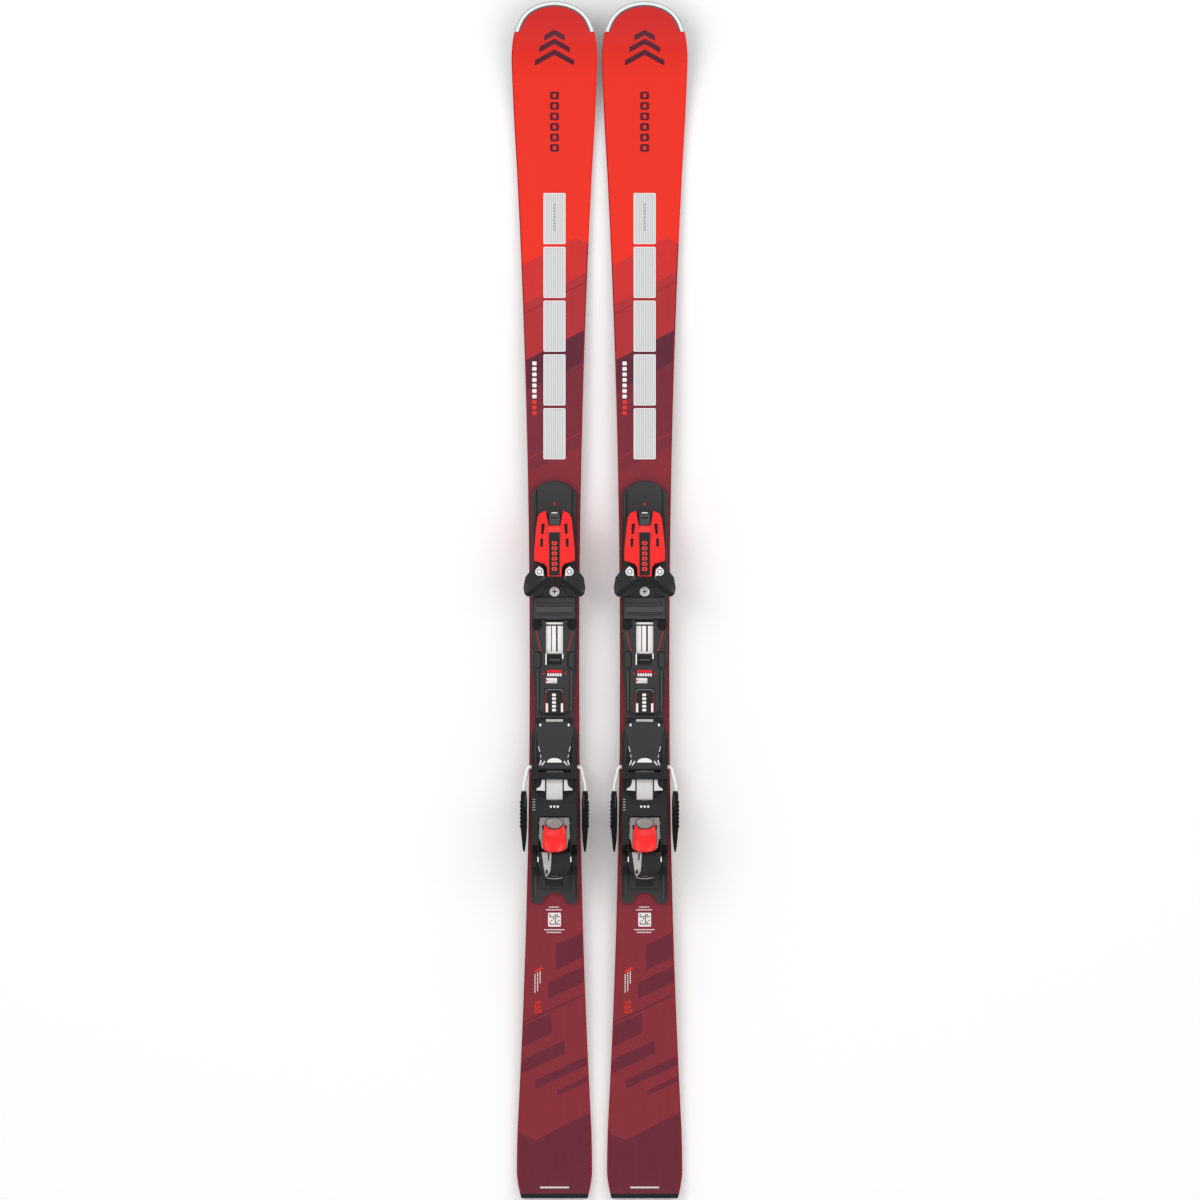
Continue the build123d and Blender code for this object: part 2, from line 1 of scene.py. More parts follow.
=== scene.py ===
"""The pair of slalom skis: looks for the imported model, seen from straight above.

Lengths are in millimetres about each ski's own centre line, and become metres in Ski.mesh.
"""
import math

import bpy
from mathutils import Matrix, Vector


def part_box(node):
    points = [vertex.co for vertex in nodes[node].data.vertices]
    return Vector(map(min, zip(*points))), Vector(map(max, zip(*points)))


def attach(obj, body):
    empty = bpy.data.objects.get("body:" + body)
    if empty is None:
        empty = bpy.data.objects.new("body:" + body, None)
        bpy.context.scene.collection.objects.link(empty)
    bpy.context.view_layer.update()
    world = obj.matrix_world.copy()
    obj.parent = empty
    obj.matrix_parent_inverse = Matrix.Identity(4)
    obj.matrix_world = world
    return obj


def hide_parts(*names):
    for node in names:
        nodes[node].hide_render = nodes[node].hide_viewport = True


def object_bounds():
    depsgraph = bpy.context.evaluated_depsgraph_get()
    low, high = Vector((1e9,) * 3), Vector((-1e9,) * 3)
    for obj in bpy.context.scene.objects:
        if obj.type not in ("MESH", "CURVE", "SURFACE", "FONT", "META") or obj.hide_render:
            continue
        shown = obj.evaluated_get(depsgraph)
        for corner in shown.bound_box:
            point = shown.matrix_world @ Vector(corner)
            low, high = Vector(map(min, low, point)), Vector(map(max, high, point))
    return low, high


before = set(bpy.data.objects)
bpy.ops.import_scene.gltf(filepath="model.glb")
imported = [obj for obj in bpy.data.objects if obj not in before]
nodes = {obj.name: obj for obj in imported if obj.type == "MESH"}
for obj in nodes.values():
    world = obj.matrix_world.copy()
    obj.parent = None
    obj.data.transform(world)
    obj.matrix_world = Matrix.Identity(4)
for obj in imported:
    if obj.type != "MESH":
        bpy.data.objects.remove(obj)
cad_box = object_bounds()

MM = 0.001
SIDES = ("left", "right")
MIRRORED = (("left", -1), ("right", 1))
TIP_Y, TAIL_Y = 822.6, -822.6


# ---- materials
def linear(value):
    value /= 255.0
    return value / 12.92 if value <= 0.04045 else ((value + 0.055) / 1.055) ** 2.4


def colour_of(rgb, share=1.0, shine=0.0):
    """A shader colour that looks like the 0 to 255 sRGB one under a shine."""
    return (*[min(max(linear(c) * share - shine, 0.0), 1.0) for c in rgb], 1.0)


# what the studio's reflection adds to each kind of surface, which its colour leaves out
PRINT_SHINE, SHELL_SHINE, MOULDED_SHINE = 0.024, 0.04, 0.021
TIP_SHADE_RED = (206, 40, 28)  # painted shade: the front's red darkened at the very tip, where it turns up
TIP_SHADE_SPAN = (0.705, 0.815)  # where the painted shade darkens it along the ski, in metres


def paint(name, rgb, roughness=0.4, metallic=0.0, coat=0.0, specular=0.5, shine=0.0):
    """A plain material; the colour is in 0 to 255 sRGB."""
    material = bpy.data.materials.new(name)
    material.use_nodes = True
    shader = material.node_tree.nodes["Principled BSDF"]
    shader.inputs["Base Color"].default_value = colour_of(rgb, shine=shine)
    shader.inputs["Roughness"].default_value = roughness
    shader.inputs["Metallic"].default_value = metallic
    shader.inputs["Coat Weight"].default_value = coat
    shader.inputs["Coat Roughness"].default_value = 0.08
    shader.inputs["Specular IOR Level"].default_value = specular
    material.diffuse_color = colour_of(rgb)
    return material


def noise(tree, size, stretch=(1.0, 1.0, 1.0), detail=2.0):
    """A noise of a size in millimetres, fixed to the piece."""
    place = tree.nodes.new("ShaderNodeTexCoord")
    mapping = tree.nodes.new("ShaderNodeMapping")
    mapping.inputs["Scale"].default_value = stretch
    texture = tree.nodes.new("ShaderNodeTexNoise")
    texture.inputs["Scale"].default_value = 1.0 / (size * MM)
    texture.inputs["Detail"].default_value = detail
    tree.links.new(place.outputs["Object"], mapping.inputs["Vector"])
    tree.links.new(mapping.outputs["Vector"], texture.inputs["Vector"])
    return texture.outputs["Fac"]


def spread(tree, source, low=0.0, high=1.0):
    """Maps a noise to a range of values."""
    node = tree.nodes.new("ShaderNodeMapRange")
    node.inputs["From Min"].default_value = 0.3
    node.inputs["From Max"].default_value = 0.7
    node.inputs["To Min"].default_value = low
    node.inputs["To Max"].default_value = high
    tree.links.new(source, node.inputs["Value"])
    return node.outputs["Result"]


def grain(material, source, height, strength=0.5):
    """Raises a noise on the surface, to a height in millimetres."""
    tree = material.node_tree
    bump = tree.nodes.new("ShaderNodeBump")
    bump.inputs["Strength"].default_value = strength
    bump.inputs["Distance"].default_value = height * MM
    tree.links.new(source, bump.inputs["Height"])
    tree.links.new(bump.outputs["Normal"], tree.nodes["Principled BSDF"].inputs["Normal"])


def tint(material, factor, first, second):
    """Mixes two colours by a factor from nodes."""
    tree = material.node_tree
    mix = tree.nodes.new("ShaderNodeMix")
    mix.data_type = "RGBA"
    colour_inputs = [socket for socket in mix.inputs if socket.type == "RGBA"]
    colour_inputs[0].default_value = first
    colour_inputs[1].default_value = second
    tree.links.new(factor, mix.inputs["Factor"])
    colour = next(socket for socket in mix.outputs if socket.type == "RGBA")
    tree.links.new(colour, tree.nodes["Principled BSDF"].inputs["Base Color"])


def mottled(name, rgb, source, shares, height, strength=0.5, shine=0.0, **look):
    """A material whose colour and surface follow one noise, from (size, stretch, detail)."""
    material = paint(name, rgb, **look)
    tree = material.node_tree
    waves = noise(tree, *source)
    dark, light = [colour_of(rgb, share, shine) for share in shares]
    tint(material, spread(tree, waves), dark, light)
    grain(material, waves, height, strength)
    return material


def lacquer(name, rgb):
    """Clear-coated print with the faint mottle of ink on a structured sheet."""
    material = paint(name, rgb, roughness=0.42, coat=0.2, specular=0.25)
    tree = material.node_tree
    dark, light = colour_of(rgb, 0.97, PRINT_SHINE), colour_of(rgb, 1.03, PRINT_SHINE)
    tint(material, spread(tree, noise(tree, 9.0, (1.0, 0.25, 1.0))), dark, light)
    grain(material, noise(tree, 0.7), 0.012)
    return material


def tip_lacquer_painted_shade(name, rgb):
    """The front's red, with painted shade that darkens it towards the upturned tip."""
    material = paint(name, rgb, roughness=0.42, coat=0.2, specular=0.25)
    tree = material.node_tree
    place = tree.nodes.new("ShaderNodeTexCoord")
    split = tree.nodes.new("ShaderNodeSeparateXYZ")
    ramp = tree.nodes.new("ShaderNodeMapRange")
    ramp.interpolation_type = "SMOOTHSTEP"
    ramp.inputs["From Min"].default_value, ramp.inputs["From Max"].default_value = TIP_SHADE_SPAN
    tree.links.new(place.outputs["Object"], split.inputs["Vector"])
    tree.links.new(split.outputs["Y"], ramp.inputs["Value"])
    # painted shade: the red blends into the darker tip colour along the ski
    back, front = colour_of(rgb, 1.0, PRINT_SHINE), colour_of(TIP_SHADE_RED, 1.0, PRINT_SHINE)
    tint(material, ramp.outputs["Result"], back, front)
    grain(material, noise(tree, 0.7), 0.012)
    return material


def ink(name, rgb):
    return paint(name, rgb, roughness=0.4, coat=0.2, specular=0.25, shine=PRINT_SHINE)


def gloss(name, rgb):
    return paint(name, rgb, roughness=0.28, coat=0.4, specular=0.4, shine=SHELL_SHINE)


def shell(name, rgb):
    """Glossy injection-moulded housing, with a soft orange-peel surface."""
    source = (5.0, (1.0, 1.0, 1.0), 1.0)
    look = {"roughness": 0.3, "coat": 0.45, "specular": 0.4}
    return mottled(name, rgb, source, (0.95, 1.05), 0.05, 0.35, SHELL_SHINE, **look)


def moulded(name, rgb, roughness=0.5):
    """Spark-eroded plastic: a fine even grain and slightly uneven shine."""
    material = paint(name, rgb, roughness=roughness, specular=0.3, shine=MOULDED_SHINE)
    tree = material.node_tree
    cloud = noise(tree, 7.0)
    shader = tree.nodes["Principled BSDF"]
    tree.links.new(spread(tree, cloud, roughness - 0.07, roughness + 0.09), shader.inputs["Roughness"])
    grain(material, noise(tree, 0.5), 0.03)
    return material


def plain(name, rgb, roughness=0.5):
    return paint(name, rgb, roughness=roughness, specular=0.3, shine=MOULDED_SHINE)


def rubber(name, rgb):
    material = paint(name, rgb, roughness=0.72, specular=0.25)
    grain(material, noise(material.node_tree, 0.9), 0.06, 0.7)
    return material


def metal(name, rgb, roughness=0.35):
    return paint(name, rgb, roughness=roughness, metallic=1.0)


def cast(name, rgb):
    """Satin die-cast alloy with a fine blasted grain."""
    source = (0.8, (1.0, 1.0, 1.0), 4.0)
    return mottled(name, rgb, source, (0.86, 1.12), 0.04, roughness=0.45, metallic=0.55)


def brushed(name, rgb):
    """Pale steel strip, brushed along the ski."""
    source = (0.6, (1.0, 0.03, 1.0), 3.0)
    return mottled(name, rgb, source, (0.93, 1.03), 0.01, roughness=0.34, metallic=0.12)


def bright(name, rgb):
    return paint(name, rgb, roughness=0.25, metallic=0.1)


FINISHES = {  # material: how it is made, its colour, the record's slot
    "tip_red": (tip_lacquer_painted_shade, (235, 58, 45), "topsheet_red"),
    "red_2": (lacquer, (205, 57, 55), "topsheet_red"),
    "red_3": (lacquer, (176, 57, 60), "topsheet_red"),
    "plum_4": (lacquer, (100, 48, 62), "topsheet_red"),
    "wine_5": (lacquer, (123, 53, 64), "topsheet_red"),
    "wine_6": (lacquer, (137, 54, 63), "topsheet_red"),
    "plum_mark": (lacquer, (109, 49, 61), "topsheet_red"),
    "seam_dark": (ink, (150, 49, 58), "topsheet_red"),
    "seam_light": (ink, (156, 58, 66), "topsheet_red"),
    "mark_dark": (ink, (88, 38, 56), "topsheet_red"),
    "numeral": (ink, (228, 62, 52), "topsheet_red"),
    "print_white": (ink, (240, 236, 234), "topsheet_red"),
    "print_grey": (ink, (150, 150, 150), "topsheet_red"),
    "panel_rim": (ink, (250, 250, 250), "topsheet_red"),
    "panel_mesh": (ink, (194, 195, 195), "topsheet_red"),
    "panel_rib": (ink, (224, 224, 224), "topsheet_red"),
    "panel_dot": (ink, (150, 151, 152), "topsheet_red"),
    "wall_red": (lacquer, (150, 38, 46), "sidewall_red"),
    # painted light and shade on the sidewalls' top edges: lit on the right, in shade on the left
    "wall_bright": (ink, (240, 42, 30), "sidewall_red"),
    "wall_shade": (ink, (196, 38, 34), "sidewall_red"),
    "base_black": (moulded, (30, 30, 32), "sintered_base"),
    "wood": (moulded, (190, 158, 118), "wood_core"),
    "edge_steel": (metal, (190, 190, 192), "edge_steel"),
    "guard": (gloss, (236, 238, 237), "tip_guard_grey"),
    "guard_rim": (plain, (176, 179, 178), "tip_guard_grey"),
    "guard_line": (plain, (76, 98, 98), "tip_guard_grey"),
    "tail_black": (moulded, (40, 37, 40), "black_plastic"),
    "plate": (moulded, (65, 65, 65), "plate_black"),
    "plate_dark": (plain, (42, 43, 43), "plate_black"),
    "plate_ridge": (plain, (80, 81, 81), "plate_black"),
    "black": (moulded, (50, 50, 50), "black_plastic"),
    "black_mid": (moulded, (64, 64, 64), "black_plastic"),
    "black_deep": (plain, (37, 38, 38), "black_plastic"),
    "black_gloss": (gloss, (52, 52, 53), "black_plastic"),
    "rubber": (rubber, (16, 16, 17), "pad_black"),
    "pad": (moulded, (72, 72, 72), "pad_grey"),
    "pad_light": (moulded, (82, 82, 82), "pad_grey"),
    "shell_red": (shell, (251, 48, 48), "binding_red"),
    "shell_light": (gloss, (252, 78, 72), "binding_red"),
    "accent_red": (plain, (222, 42, 52), "binding_red"),
    "lever_red": (gloss, (250, 40, 46), "lever_red"),
    "lever_grey": (cast, (144, 139, 136), "lever_alloy"),
    "lever_light": (cast, (178, 175, 173), "lever_alloy"),
    "band": (brushed, (252, 250, 247), "band_steel"),
    "chrome": (bright, (246, 245, 243), "bright_steel"),
    "steel": (metal, (120, 120, 122), "bright_steel"),
    "wire": (bright, (240, 240, 240), "wire_steel"),
    "spring": (metal, (120, 120, 122), "spring_steel"),
}
MATERIALS = {name: make(name, rgb) for name, (make, rgb, _) in FINISHES.items()}


# ---- outlines
def polygon_area(points):
    following = points[1:] + points[:1]
    return sum(a[0] * b[1] - b[0] * a[1] for a, b in zip(points, following)) / 2


def both_sides(points):
    """Closes an outline of x > 0 points with its mirror image."""
    return points + [(-x, y) for x, y in reversed(points)]


def arc(x, y, radius, start, end, steps=6):
    """Points round part of a circle, with the angles in degrees."""
    turns = [math.radians(start + (end - start) * i / steps) for i in range(steps + 1)]
    return [(x + radius * math.cos(t), y + radius * math.sin(t)) for t in turns]


def rectangle(x0, x1, y0, y1, corner=0.0):
    """A rectangle's outline, with round corners where corner isn't 0."""
    if not corner:
        return [(x0, y0), (x1, y0), (x1, y1), (x0, y1)]
    outline = []
    for x, y, start in (
        (x1 - corner, y0 + corner, -90), (x1 - corner, y1 - corner, 0),
        (x0 + corner, y1 - corner, 90), (x0 + corner, y0 + corner, 180),
    ):
        outline += arc(x, y, corner, start, start + 90, 4)
    return outline


def disc(x, y, radius):
    return arc(x, y, radius, 0, 345, 23)


def capsule(start, end, width):
    """The outline of a slot with round ends."""
    heading = math.degrees(math.atan2(end[1] - start[1], end[0] - start[0]))
    return (
        arc(*start, width / 2, heading + 90, heading + 270, 7)
        + arc(*end, width / 2, heading - 90, heading + 90, 7)
    )


def line(route, width):
    """The outline of a line of even width along a route of points."""
    left, right = [], []
    for i, (x, y) in enumerate(route):
        ax, ay = route[max(i - 1, 0)]
        bx, by = route[min(i + 1, len(route) - 1)]
        scale = width / 2 / math.hypot(bx - ax, by - ay)
        across = ((ay - by) * scale, (bx - ax) * scale)
        left.append((x + across[0], y + across[1]))
        right.append((x - across[0], y - across[1]))
    return left + right[::-1]


def row(outline, dx, dy, count):
    """Copies of an outline, each moved on by a step."""
    return [[(x + dx * i, y + dy * i) for x, y in outline] for i in range(count)]


def interpolate(table, y):
    """The value at y in a list of (y, value) pairs with y rising."""
    for (y0, v0), (y1, v1) in zip(table, table[1:]):
        if y <= y1:
            return v0 + (v1 - v0) * (y - y0) / (y1 - y0)
    return table[-1][1]


# ---- making pieces
def round_edges(obj, width, segments=2, angle=35):
    bevel = obj.modifiers.new("round", "BEVEL")
    bevel.limit_method = "ANGLE"
    bevel.angle_limit = math.radians(angle)
    bevel.width = width * MM
    bevel.segments = segments
    bevel.harden_normals = True


class Ski:
    """Makes and dresses one ski's pieces, in millimetres about its own centre line."""

    def __init__(self, side):
        self.side = side
        low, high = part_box(f"{side}_mounting_plate")
        self.x = (low.x + high.x) / 2 / MM

    def dress(self, node, material, bevel=0.0, segments=2, smooth=False):
        """Gives a CAD node its material and, where it has edges worth rounding, a bevel."""
        obj = nodes[f"{self.side}_{node}"]
        obj.data.materials.clear()
        obj.data.materials.append(MATERIALS[material])
        if smooth:
            for polygon in obj.data.polygons:
                polygon.use_smooth = True
        if bevel:
            flat = obj.modifiers.new("flat", "DECIMATE")
            flat.decimate_type = "DISSOLVE"
            flat.angle_limit = math.radians(1.0)
            round_edges(obj, bevel, segments, 32)

    def mesh(self, name, body, points, faces, materials, indices=None, smooth=False):
        """A piece from points and faces, riding on a body."""
        name = f"{self.side}_{name}"
        mesh = bpy.data.meshes.new(name)
        mesh.from_pydata([Vector((x + self.x, y, z)) * MM for x, y, z in points], [], faces)
        for material in materials:
            mesh.materials.append(MATERIALS[material])
        for polygon in mesh.polygons:
            polygon.use_smooth = smooth
            if indices:
                polygon.material_index = indices[polygon.index]
        obj = bpy.data.objects.new(name, mesh)
        bpy.context.scene.collection.objects.link(obj)
        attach(obj, f"{self.side}_{body}")
        return obj

    def prism(self, name, body, outline, low, high, material, bevel=0.0, segments=2):
        """An outline standing from low to high; high may be a function of y."""
        if polygon_area(outline) < 0:
            outline = outline[::-1]
        count = len(outline)
        top = high if callable(high) else lambda y: high
        points = [(x, y, low) for x, y in outline] + [(x, y, top(y)) for x, y in outline]
        faces = [tuple(range(count))[::-1], tuple(range(count, 2 * count))]
        faces += [(i, (i + 1) % count, count + (i + 1) % count, count + i) for i in range(count)]
        obj = self.mesh(name, body, points, faces, [material])
        if bevel:
            round_edges(obj, bevel, segments)
        return obj

    def pair(self, name, body, outline, *rest):
        """A prism on the right, and its mirror image on the left."""
        for word, sign in MIRRORED:
            self.prism(f"{name}_{word}", body, [(sign * x, y) for x, y in outline], *rest)

    def lay(self, body, surface, rows, pairs=False):
        """Pieces let into a surface, from (name, outline, depth, height, material, bevel, segments)."""
        make = self.pair if pairs else self.prism
        for name, outline, depth, height, *look in rows:
            make(name, body, outline, surface - depth, surface + height, *look)

    def turned(self, name, body, centre, rings, material, stretch=1.0):
        """A round or oval piece about an upright axis, from (radius, z) rings, the top one first."""
        count = 32
        points = []
        for radius, z in rings:
            for x, y in arc(0, 0, radius, 0, 360 - 360 / count, count - 1):
                points.append((centre[0] + x * stretch, centre[1] + y, z))
        faces = [tuple(range(count))]
        for level in range(len(rings) - 1):
            first = level * count
            for i in range(count):
                j = (i + 1) % count
                faces.append((first + j, first + i, first + count + i, first + count + j))
        faces.append(tuple(range(len(points) - count, len(points)))[::-1])
        obj = self.mesh(name, body, points, faces, [material], smooth=True)
        round_edges(obj, 0.05, 2, 50)

    def tube(self, name, body, route, radius, material):
        """A smooth wire through points."""
        curve = bpy.data.curves.new(name, "CURVE")
        curve.dimensions = "3D"
        spline = curve.splines.new("NURBS")
        spline.points.add(len(route) - 1)
        for point, (x, y, z) in zip(spline.points, route):
            point.co = (x, y, z, 1.0)
        spline.order_u = 3
        spline.use_endpoint_u = True
        curve.bevel_depth = radius
        curve.bevel_resolution = 3
        curve.use_fill_caps = True
        temporary = bpy.data.objects.new("wire_curve", curve)
        bpy.context.scene.collection.objects.link(temporary)
        bpy.context.view_layer.update()
        evaluated = temporary.evaluated_get(bpy.context.evaluated_depsgraph_get())
        wire = bpy.data.meshes.new_from_object(evaluated)
        points = [tuple(vertex.co) for vertex in wire.vertices]
        faces = [tuple(polygon.vertices) for polygon in wire.polygons]
        bpy.data.objects.remove(temporary)
        self.mesh(name, body, points, faces, [material], smooth=True)

    def tube_pair(self, name, body, route, radius, material):
        for word, sign in MIRRORED:
            self.tube(f"{name}_{word}", body, [(sign * x, y, z) for x, y, z in route], radius, material)


# ---- the ski's top surface, as the CAD shapes it
FLAT_REAR_Y, FLAT_FRONT_Y = -440.0, 200.0
FRONT_CONTACT_Y, REAR_CONTACT_Y = 610.0, -772.0
SKI_TOP, FRONT_CONTACT_TOP, REAR_CONTACT_TOP = 20.0, 8.0, 9.0
TIP_TOP, TAIL_TOP = 64.5, 16.0
OUTLINE = [  # (half-width, y) down one side; each arc runs through three of them
    (0.0, 822.6), (15.4, 820.8), (30.0, 815.4), (41.3, 807.0), (49.4, 795.4), (54.5, 782.3),
    (57.4, 768.5), (58.7, 754.8), (59.1, 741.0), (56.3, 675.0), (51.6, 590.0), (39.3, 285.0),
    (34.0, -89.0), (38.6, -430.0), (49.2, -696.0), (51.3, -744.0), (51.7, -790.0), (49.4, -806.5),
    (45.6, -822.6),
]
TIP_ARCS = 4  # how many of them the tip guard runs along
SHEET_INSET, SHEET_THICKNESS = 1.8, 1.0
GUARD_WIDTH, GUARD_END_Y = 7.0, 781.0
TAIL_STRIP_Y = TAIL_Y + 6.2
LAYER = 0.08  # how far each layer of print stands off the one below
STRIP_PITCH = 8.0  # how long a flat piece of the curved surface may be


def rise(distance, run, height):
    """How far a circular arc has risen after a distance, when it rises a height over the run."""
    radius = (run * run + height * height) / (2 * height)
    return radius - math.sqrt(radius * radius - distance * distance)


def s_curve(y, y0, z0, y1, z1):
    """The height at y on two equal arcs, level at both ends."""
    half_run, half_drop = abs(y1 - y0) / 2, (z0 - z1) / 2
    along = abs(y - y0)
    if along <= half_run:
        return z0 - rise(along, half_run, half_drop)
    return z1 + rise(2 * half_run - along, half_run, half_drop)


def upturn(y, contact_y, contact_top, end_y, end_top):
    """The height at y where the ski's end turns up."""
    run = abs(end_y - contact_y) + 2
    return contact_top + rise(abs(y - contact_y), run, end_top - contact_top)


def top_z(y):
    """The topsheet's height at y."""
    if y > FRONT_CONTACT_Y:
        return upturn(y, FRONT_CONTACT_Y, FRONT_CONTACT_TOP, TIP_Y, TIP_TOP)
    if y > FLAT_FRONT_Y:
        return s_curve(y, FLAT_FRONT_Y, SKI_TOP, FRONT_CONTACT_Y, FRONT_CONTACT_TOP)
    if y < REAR_CONTACT_Y:
        return upturn(y, REAR_CONTACT_Y, REAR_CONTACT_TOP, TAIL_Y, TAIL_TOP)
    if y < FLAT_REAR_Y:
        return s_curve(y, FLAT_REAR_Y, SKI_TOP, REAR_CONTACT_Y, REAR_CONTACT_TOP)
    return SKI_TOP


def circle_through(a, b, c):
    (ax, ay), (bx, by), (cx, cy) = a, b, c
    d = 2 * (ax * (by - cy) + bx * (cy - ay) + cx * (ay - by))
    a2, b2, c2 = ax * ax + ay * ay, bx * bx + by * by, cx * cx + cy * cy
    x = (a2 * (by - cy) + b2 * (cy - ay) + c2 * (ay - by)) / d
    y = (a2 * (cx - bx) + b2 * (ax - cx) + c2 * (bx - ax)) / d
    return x, y, math.hypot(ax - x, ay - y)


OUTLINE_ARCS = [OUTLINE[i:i + 3] for i in range(0, len(OUTLINE) - 2, 2)]
OUTLINE_CIRCLES = [(points, circle_through(*points)) for points in OUTLINE_ARCS]


def half_width(y):
    """The ski outline's half-width at y."""
    for (start, middle, end), (cx, cy, radius) in OUTLINE_CIRCLES:
        if end[1] <= y <= start[1]:
            reach = math.sqrt(max(radius * radius - (y - cy) ** 2, 0.0))
            return cx + math.copysign(reach, middle[0] - cx)
    return 0.0


def tip_curve(inset):
    """The right half of the tip's outline, moved in by an inset, from the tip to the guard's end."""
    points = []
    for (start, _, end), (cx, cy, radius) in OUTLINE_CIRCLES[:TIP_ARCS]:
        first = math.atan2(start[1] - cy, start[0] - cx)
        last = math.atan2(end[1] - cy, end[0] - cx)
        for i in range(12):
            turn = first + (last - first) * i / 12
            x = cx + (radius - inset) * math.cos(turn)
            y = cy + (radius - inset) * math.sin(turn)
            if y > GUARD_END_Y and x >= 0.0:
                points.append((x, y))
    x0, y0 = points[0]
    edge = [(y, x) for x, y in points[::-1]]
    return [(0.0, y0 + x0 * 0.02)] + points + [(interpolate(edge, GUARD_END_Y), GUARD_END_Y)]


SHEET_TIP = tip_curve(GUARD_WIDTH)
SHEET_TIP_TABLE = [(y, x) for x, y in SHEET_TIP[::-1]]


def sheet_half(y):
    """The topsheet's half-width at y, inside the guard and the sidewalls."""
    if y > GUARD_END_Y:
        return interpolate(SHEET_TIP_TABLE, y)
    return half_width(y) - SHEET_INSET


def strip_levels(low, high):
    """Where to cut a graphic so that it follows the ski's curves."""
    cuts = [low]
    for i in range(math.floor(low / STRIP_PITCH) + 1, math.ceil(high / STRIP_PITCH)):
        y = i * STRIP_PITCH
        if not (FLAT_REAR_Y < y < FLAT_FRONT_Y) and y > cuts[-1] + 0.01:
            cuts.append(y)
    return cuts + [high]


def clip(points, limit, keep_above):
    """The part of a polygon above or below y = limit."""
    kept = []
    for (ax, ay), (bx, by) in zip(points, points[1:] + points[:1]):
        a_in = ay >= limit if keep_above else ay <= limit
        b_in = by >= limit if keep_above else by <= limit
        if a_in:
            kept.append((ax, ay))
        if a_in != b_in:
            share = (limit - ay) / (by - ay)
            kept.append((ax + (bx - ax) * share, limit))
    return kept


class Graphics:
    """Printed shapes laid on a ski's topsheet, gathered into one mesh."""

    def __init__(self):
        self.points, self.faces, self.indices, self.materials = [], [], [], []

    def add(self, outline, material, layer=1):
        """A convex or plain outline, laid on the topsheet as one of its layers of print."""
        if material not in self.materials:
            self.materials.append(material)
        index = self.materials.index(material)
        if polygon_area(outline) < 0:
            outline = outline[::-1]
        levels = strip_levels(min(y for _, y in outline), max(y for _, y in outline))
        for low, high in zip(levels, levels[1:]):
            piece = clip(clip(outline, low, True), high, False)
            if len(piece) < 3 or abs(polygon_area(piece)) < 1e-4:
                continue
            start = len(self.points)
            self.points += [(x, y, top_z(y) + LAYER * layer) for x, y in piece]
            self.faces.append(tuple(range(start, len(self.points))))
            self.indices.append(index)

    def row(self, outline, dx, dy, count, material, layer):
        for copy in row(outline, dx, dy, count):
            self.add(copy, material, layer)

    def stroke(self, route, width, material, layer):
        """A line through points, one short face after another."""
        for start, end in zip(route, route[1:]):
            self.add(line([start, end], width), material, layer)


# ---- the print
# lines across the ski where the print changes colour, from the left edge to the right edge
LINE_2 = [(-46, 461), (30, 498), (47, 490.5)]
LINE_3 = [(-43, 407), (44, 450.5)]
LINE_4 = [(-40, 330), (42, 371)]
LINE_5 = [(-38.5, 288), (40, 327)]
LINE_6 = [(-35.8, 176), (36.8, 211)]
LINE_END = [(-45, TAIL_STRIP_Y), (45, TAIL_STRIP_Y)]
LINE_TAIL = [(-49, -733), (-26, -743), (48, -705)]
WINDOW_WIDTH, WINDOW_LENGTH, WINDOW_PITCH, WINDOW_TOP = 30.2, 70.0, 74.0, 559.6


def edge_points(sign, low, high):
    """Points down one long edge of the topsheet, from high to low."""
    count = max(2, int((high - low) / 6.0))
    heights = [high + (low - high) * i / count for i in range(count + 1)]
    return [(sign * sheet_half(y), y) for y in heights]


def zone(lower, upper):
    """The print between two lines that run from the left to the right edge."""
    right = edge_points(1, lower[-1][1], upper[-1][1])
    left = edge_points(-1, lower[0][1], upper[0][1])
    return upper[1:-1] + right + lower[1:-1][::-1] + left[::-1]


def tip_zone():
    """The bright red front, inside the tip guard; its rear end lies under the next colour."""
    half = SHEET_TIP[1:] + edge_points(1, LINE_2[0][1] - 4.0, GUARD_END_Y)
    return [SHEET_TIP[0]] + half + [(-x, y) for x, y in half[::-1]]


def tail_zones():
    """The dark tail in two halves, which meet at the bottom of its first line's V."""
    left, valley, right = LINE_TAIL
    left = (left[0] - 10, left[1] + 4.3)
    right = (right[0] + 10, right[1] + 5.1)
    return [
        [left, valley, (valley[0], TAIL_STRIP_Y), (left[0], TAIL_STRIP_Y)],
        [valley, right, (right[0], TAIL_STRIP_Y), (valley[0], TAIL_STRIP_Y)],
    ]


def lowered(route, drop):
    return [(x, y - drop) for x, y in route]


def cross_stripe(route, width):
    """A thin line across the ski."""
    return zone(lowered(route, width), route)


def inside_print(outline):
    """A convex outline cut back to the topsheet's long edges."""
    points = []
    for (ax, ay), (bx, by) in zip(outline, outline[1:] + outline[:1]):
        count = max(1, int(math.hypot(bx - ax, by - ay) / 2.0))
        for i in range(count):
            x, y = ax + (bx - ax) * i / count, ay + (by - ay) * i / count
            limit = sheet_half(y)
            points.append((min(max(x, -limit), limit), y))
    return points


def windows(print_):
    """The five ribbed panels down the front, and a column of dots on the first."""
    half = WINDOW_WIDTH / 2
    rib_pitch = (WINDOW_WIDTH - 5.8) / 8
    for i in range(5):
        top = WINDOW_TOP - i * WINDOW_PITCH
        low = top - WINDOW_LENGTH
        print_.add(rectangle(-half, half, low, top, 1.8), "panel_rim", 4)
        print_.add(rectangle(-half + 1, half - 1, low + 1, top - 1, 1.0), "panel_mesh", 5)
        rib = rectangle(2.1 - half, 3.7 - half, low + 1.6, top - 1.6)
        print_.row(rib, rib_pitch, 0, 9, "panel_rib", 6)
    dot = rectangle(-0.9, 0.9, WINDOW_TOP - 17.2, WINDOW_TOP - 14.8)
    print_.row(dot, 0, -4.3, 9, "panel_dot", 7)


